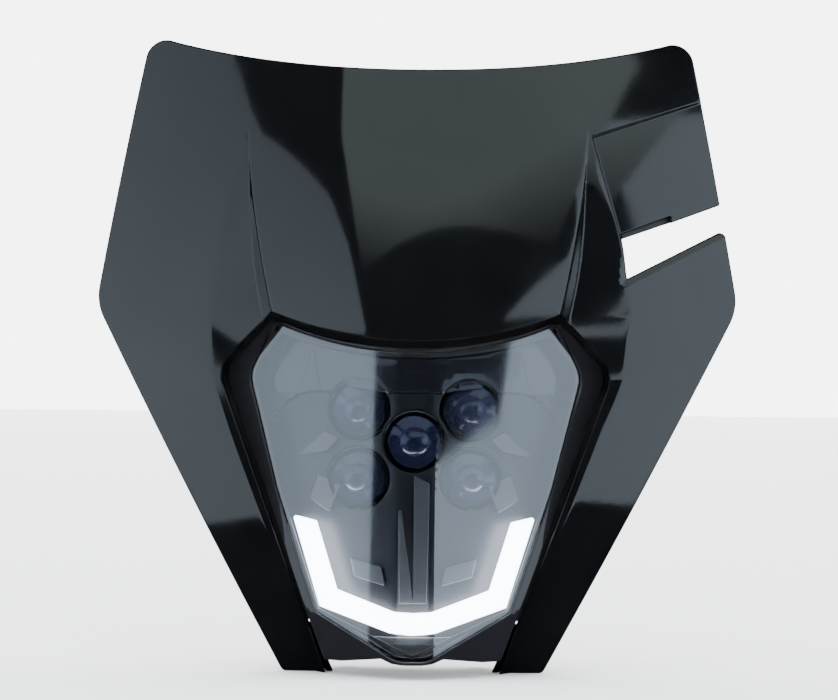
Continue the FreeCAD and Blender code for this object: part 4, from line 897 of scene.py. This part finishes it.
# The raised forms: a centre, a height, and an outline round it that is mirrored to the left.
raised = [(0, (unit_lower_z + guide_low_z) / 2, 3, [(0.0, -20), (0.0, 38), (7.5, 34), (6.5, -22)]),
          (unit_x + 18, unit_mid_z - 2, 4, [(12.6, -6), (-1.4, 6.5), (-8.4, 3), (-2.4, -3)]),
          (unit_x + 23.6, unit_upper_z + 18.3, 3, [(-1.5, 10), (0.5, 10), (5, -9), (-5, -9)]),
          (unit_x - 4.4, guide_turn_z + 17, 2, [(-7, 2), (8, 6), (6, -3), (-9, -7)]),
          (unit_x + 15.6, unit_lower_z - 6, 3, [(-7, 2.6), (4, 7.6), (8, -4.4), (-2, -10.4)]),
          (unit_x + 15.6, unit_upper_z + 13, 2, [(-30, 0.3), (28, 6.3), (32, 2.3), (-30, -4.7)])]
for centre_x, centre_z, height, outline in raised:
    if centre_x == 0:
        sides = [outline + [(-across, up) for across, up in reversed(outline) if across > 0]]
    else:
        sides = [[(side * (centre_x + across), up) for across, up in outline] for side in (1, -1)]
    for corners in sides:
        path = round_path([(across, up + centre_z, 0.8 if centre_x or across else 0)
                           for across, up in corners])
        bezel_forms.append(plate([path], setback(bezel_setback - height), height + 1.0, 2.5, 0.5))
bezel = joined("bezel", bezel_forms, 40)
bezel_at = np.array([tuple(vertex.co) for vertex in bezel.data.vertices]) / MM
stands_up = bezel_front(bezel_at[:, 0], bezel_at[:, 2]) - bezel_at[:, 1] - 0.5
# The raised attribute marks how far the bezel stands up from its plate. It paints the raised forms lighter, a
# painted highlight.
bezel.data.attributes.new("raised", "FLOAT", "POINT").data.foreach_set("value", np.clip(stands_up, 0, 1))
smoky = Finish("bezel_plastic")
raised_highlight_share = smoky.node("ShaderNodeAttribute", {"attribute_name": "raised"}, {}, "Fac")
cloud = smoky.noise(50, 3.0)
across = smoky.node("ShaderNodeSeparateXYZ", {}, {0: smoky.place()}, 0)
height = smoky.node("ShaderNodeSeparateXYZ", {}, {0: smoky.place()}, 2)
# The shelf's edge, then the keel rib's half width and foot, all in metres. The keel rib is painted
# lighter grey towards its foot, a painted highlight.
upper = smoky.ramp(height, 0.1222, 0.1232)
keel_highlight = smoky.ramp(across.calc("ABSOLUTE"), 0.0078, 0.0070) * smoky.ramp(height, 0.062, 0.020)
tone = smoky.mix(cloud, (0.008, 0.008, 0.011, 1), (0.014, 0.014, 0.018, 1))
# The raised forms get a lighter grey, a painted highlight.
tone = smoky.mix(raised_highlight_share, tone, (0.045, 0.047, 0.052, 1))
# Base colour: a random tone, with painted highlights on the raised forms and on the keel rib's foot.
bezel.data.materials.append(smoky.done(smoky.surface(
    base_color=smoky.mix(keel_highlight, tone, (0.07, 0.072, 0.075, 1)), metallic=0.2, specular_ior_level=0.7,
    roughness=smoky.ramp(upper + cloud * 0.2, 0.1, 1.1, 0.36, 0.08),
    normal=smoky.bump(smoky.noise(900, 1.0), 0.00002, 0.3))))
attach(bezel, "lamp")
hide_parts("inner_bezel")


# Daytime light: a V shaped light guide, one moulding in opal plastic that sits in front of the
# bezel. Small sources on a board behind it make it glow.
guide_outer = [(guide_turn_x * 0.24, guide_low_z + 1), (guide_turn_x, guide_turn_z),
               (guide_tip_x, guide_tip_z)]
guide_inner = [(guide_tip_x - guide_width * 1.1, guide_tip_z - 2.5),
               (guide_turn_x - guide_width * 0.78, guide_turn_z + guide_width * 0.76),
               (guide_turn_x * 0.2, guide_low_z + guide_width)]
guide_loop = mirrored_path([(0, guide_low_z, 0)] + [(x, z, 1.0) for x, z in guide_outer + guide_inner]
                           + [(0, guide_low_z + guide_width * 0.95, 0)])
guide_depth, guide_thick = 5.5, 6.6
guide = piece_mesh("light_guide", *plate([guide_loop], setback(guide_depth), guide_thick, 2.5, 1.2), 50)
surface_normals(guide, setback(guide_depth))
opal = Finish("light_guide")
sparkle = opal.noise(160, 2.0)
guide.data.materials.append(opal.done(opal.surface(
    base_color=opal.mix(sparkle, (0.93, 0.94, 0.97, 1), (0.97, 0.98, 1.0, 1)), roughness=0.3,
    emission_color=opal.mix(sparkle, (0.93, 0.96, 1.0, 1), (1.0, 1.0, 1.0, 1)), emission_strength=14.0)))
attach(guide, "lamp")
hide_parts("drl_light_guide")


# Light units: five projector lenses of coated glass, each in a thin dark chrome ring. One lens and
# one ring are turned, and instances of them are set at the five places.
unit_rim, unit_dome, ring_wall, unit_sink = 2.0, 7.0, 1.6, 4.0


def unit_depth(x, z):
    """Depth of a unit's flat rear side."""
    keel_depth = lamp_top_y - lamp_lean * (lamp_top_z - z) + side_slope * max(abs(x) - 8, 0)
    return keel_depth + bezel_setback + unit_sink


def repeated(name, source, spots, material):
    """One mesh from copies of a source mesh at given places, made with Geometry Nodes."""
    places = bpy.data.meshes.new(name + "_places")
    places.from_pydata([tuple(np.array(spot) * MM) for spot in spots], [], [])
    made = bpy.data.objects.new(name, places)
    bpy.context.scene.collection.objects.link(made)
    tree = bpy.data.node_groups.new(name + "_copies", "GeometryNodeTree")
    tree.interface.new_socket("Places", in_out="INPUT", socket_type="NodeSocketGeometry")
    form = tree.interface.new_socket("Form", in_out="INPUT", socket_type="NodeSocketObject")
    paint = tree.interface.new_socket("Finish", in_out="INPUT", socket_type="NodeSocketMaterial")
    tree.interface.new_socket("Geometry", in_out="OUTPUT", socket_type="NodeSocketGeometry")
    start, end = tree.nodes.new("NodeGroupInput"), tree.nodes.new("NodeGroupOutput")
    info = tree.nodes.new("GeometryNodeObjectInfo")
    copies = tree.nodes.new("GeometryNodeInstanceOnPoints")
    real = tree.nodes.new("GeometryNodeRealizeInstances")
    painted = tree.nodes.new("GeometryNodeSetMaterial")
    link = tree.links.new
    link(start.outputs["Form"], info.inputs["Object"])
    link(start.outputs["Places"], copies.inputs["Points"])
    link(info.outputs["Geometry"], copies.inputs["Instance"])
    link(copies.outputs["Instances"], real.inputs["Geometry"])
    link(real.outputs["Geometry"], painted.inputs["Geometry"])
    link(start.outputs["Finish"], painted.inputs["Material"])
    link(painted.outputs["Geometry"], end.inputs["Geometry"])
    modifier = made.modifiers.new("copies", "NODES")
    modifier.node_group = tree
    modifier[form.identifier] = source
    modifier[paint.identifier] = material
    graph = bpy.context.evaluated_depsgraph_get()
    mesh = bpy.data.meshes.new_from_object(made.evaluated_get(graph))
    made.modifiers.clear()
    made.data = mesh
    bpy.data.objects.remove(source)
    return made


unit_places = [(x, unit_depth(x, z), z) for x, z in unit_spots]
dome_reach, dome_radius = 7.2, 8.5
dome_turns = np.linspace(0, math.asin(dome_reach / dome_radius), 14)[::-1]
dome = [(unit_radius, unit_rim), (unit_radius - 0.6, unit_rim + 0.9), (unit_radius - 3, unit_rim + 1.9),
        (dome_reach + 1.0, unit_rim + 2.6)]
dome += [(dome_radius * math.sin(turn), unit_rim + dome_radius * (math.cos(turn) - 1) + unit_dome)
         for turn in dome_turns[:-1]]
glass_form = piece_mesh("glass_form", *spun([(0, 0.3), (unit_radius - 0.2, 0.3), (unit_radius, 0.5)] + dome
                                            + [(0, unit_rim + unit_dome)], (0, 0, 0), (0, -1, 0), 64), 30)
coated = Finish("projector_glass")
tint = coated.node("ShaderNodeLayerWeight", {}, {"Blend": 0.35}, "Facing")
bands = coated.noise(14, 1.0)
tint_share = coated.ramp(tint + bands * 0.5, 0.2, 0.75)
glass = repeated("projector_lenses", glass_form, unit_places, coated.done(coated.surface(
    base_color=coated.mix(tint_share, (0.012, 0.013, 0.03, 1), (0.055, 0.055, 0.11, 1)), metallic=0.35,
    specular_ior_level=0.9, roughness=coated.ramp(bands, 0.3, 0.7, 0.03, 0.07))))
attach(glass, "lamp")
unit_names = ("centre", "upper_left", "upper_right", "lower_left", "lower_right")
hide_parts(*["projector_lens_" + place for place in unit_names])

ring_out, ring_in, ring_top = unit_radius + ring_wall, unit_radius - 0.8, unit_rim + 1.5
ring_profile = [(unit_radius + 0.05, 0), (ring_out - 0.2, 0), (ring_out, 0.2), (ring_out, ring_top - 0.4),
                (ring_out - 0.12, ring_top - 0.12), (ring_out - 0.4, ring_top), (ring_in + 0.2, ring_top),
                (ring_in, ring_top - 0.2), (ring_in, unit_rim + 0.02), (unit_radius + 0.05, unit_rim + 0.02)]
ring_form = piece_mesh("ring_form", *spun(ring_profile, (0, 0, 0), (0, -1, 0), 72), 30)
chrome = Finish("ring_plating")
wear = chrome.noise(120, 3.0)
rings = repeated("lens_rings", ring_form, unit_places, chrome.done(chrome.surface(
    base_color=chrome.mix(wear, (0.20, 0.20, 0.22, 1), (0.30, 0.30, 0.32, 1)), metallic=1.0,
    roughness=chrome.ramp(wear, 0.3, 0.7, 0.10, 0.18))))
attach(rings, "lamp")
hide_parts(*["lens_ring_" + place for place in unit_names])


# The remaining pieces are shown as built, some with bevelled edges: the moulded housing and its
# cover, the cast heat sink, the boards, rubber seals, bushes, screws and their metal parts.

def dressed(names, material, bevel):
    """Rounds the edges of built pieces and gives them a finish."""
    for name in names:
        piece = nodes[name]
        weld = piece.modifiers.new("weld", "WELD")
        weld.merge_threshold = 0.00001
        if bevel:
            rounding = piece.modifiers.new("bevel", "BEVEL")
            rounding.width, rounding.segments = bevel * MM, 2
            rounding.limit_method, rounding.angle_limit = "ANGLE", math.radians(35)
            rounding.harden_normals = True
        piece.data.materials.clear()
        piece.data.materials.append(material)


def plain_finish(name, dark, light, roughness, scale=80, metallic=0.0, grain=(900, 0.00002)):
    """A material whose colour and roughness vary a little, with a fine grain."""
    finish = Finish(name)
    patches = finish.noise(scale, 3.0)
    return finish.done(finish.surface(
        base_color=finish.mix(patches, (*dark, 1), (*light, 1)), metallic=metallic,
        roughness=finish.ramp(patches, 0.3, 0.7, *roughness),
        normal=finish.bump(finish.noise(grain[0], 2.0), grain[1], 0.5)))


nylon = plain_finish("housing_plastic", (0.022, 0.022, 0.024), (0.032, 0.032, 0.034), (0.42, 0.55))
dressed(["lamp_housing", "rear_cover"], nylon, 0.4)
dressed(["optic_carrier"], nylon, 0)
dressed(["pivot_bush_left", "pivot_bush_right"],
        plain_finish("bush_plastic", (0.04, 0.04, 0.042), (0.06, 0.06, 0.06), (0.35, 0.45)), 0.15)
dressed(["top_grommet", "lens_seal", "rear_cover_seal", "wire_inlet", "breather_cap"],
        plain_finish("rubber", (0.014, 0.014, 0.014), (0.022, 0.022, 0.022), (0.7, 0.85), 60, 0.0,
                     (500, 0.00004)), 0)
dressed(["top_sleeve", "pivot_screw_left", "pivot_screw_right", "aim_screw", "aim_washer", "heatsink_screws",
         "rear_cover_screws"],
        plain_finish("steel", (0.42, 0.42, 0.43), (0.58, 0.58, 0.58), (0.25, 0.38), 200, 1.0), 0.12)
dressed(["aim_insert"],
        plain_finish("brass", (0.55, 0.40, 0.15), (0.68, 0.50, 0.22), (0.25, 0.35), 200, 1.0), 0)
dressed(["heatsink"],
        plain_finish("aluminium", (0.030, 0.030, 0.032), (0.045, 0.045, 0.048), (0.38, 0.5), 90, 0.6,
                     (700, 0.00003)), 0.2)
dressed(["drl_board", "led_board", "driver_board"],
        plain_finish("board", (0.012, 0.05, 0.025), (0.018, 0.065, 0.03), (0.35, 0.45)), 0)
dressed(["drl_leds", "led_emitters"],
        plain_finish("emitter", (0.80, 0.74, 0.45), (0.9, 0.85, 0.6), (0.5, 0.6)), 0)
dressed(["driver_parts"], plain_finish("chips", (0.03, 0.03, 0.032), (0.045, 0.045, 0.048), (0.4, 0.55)), 0)
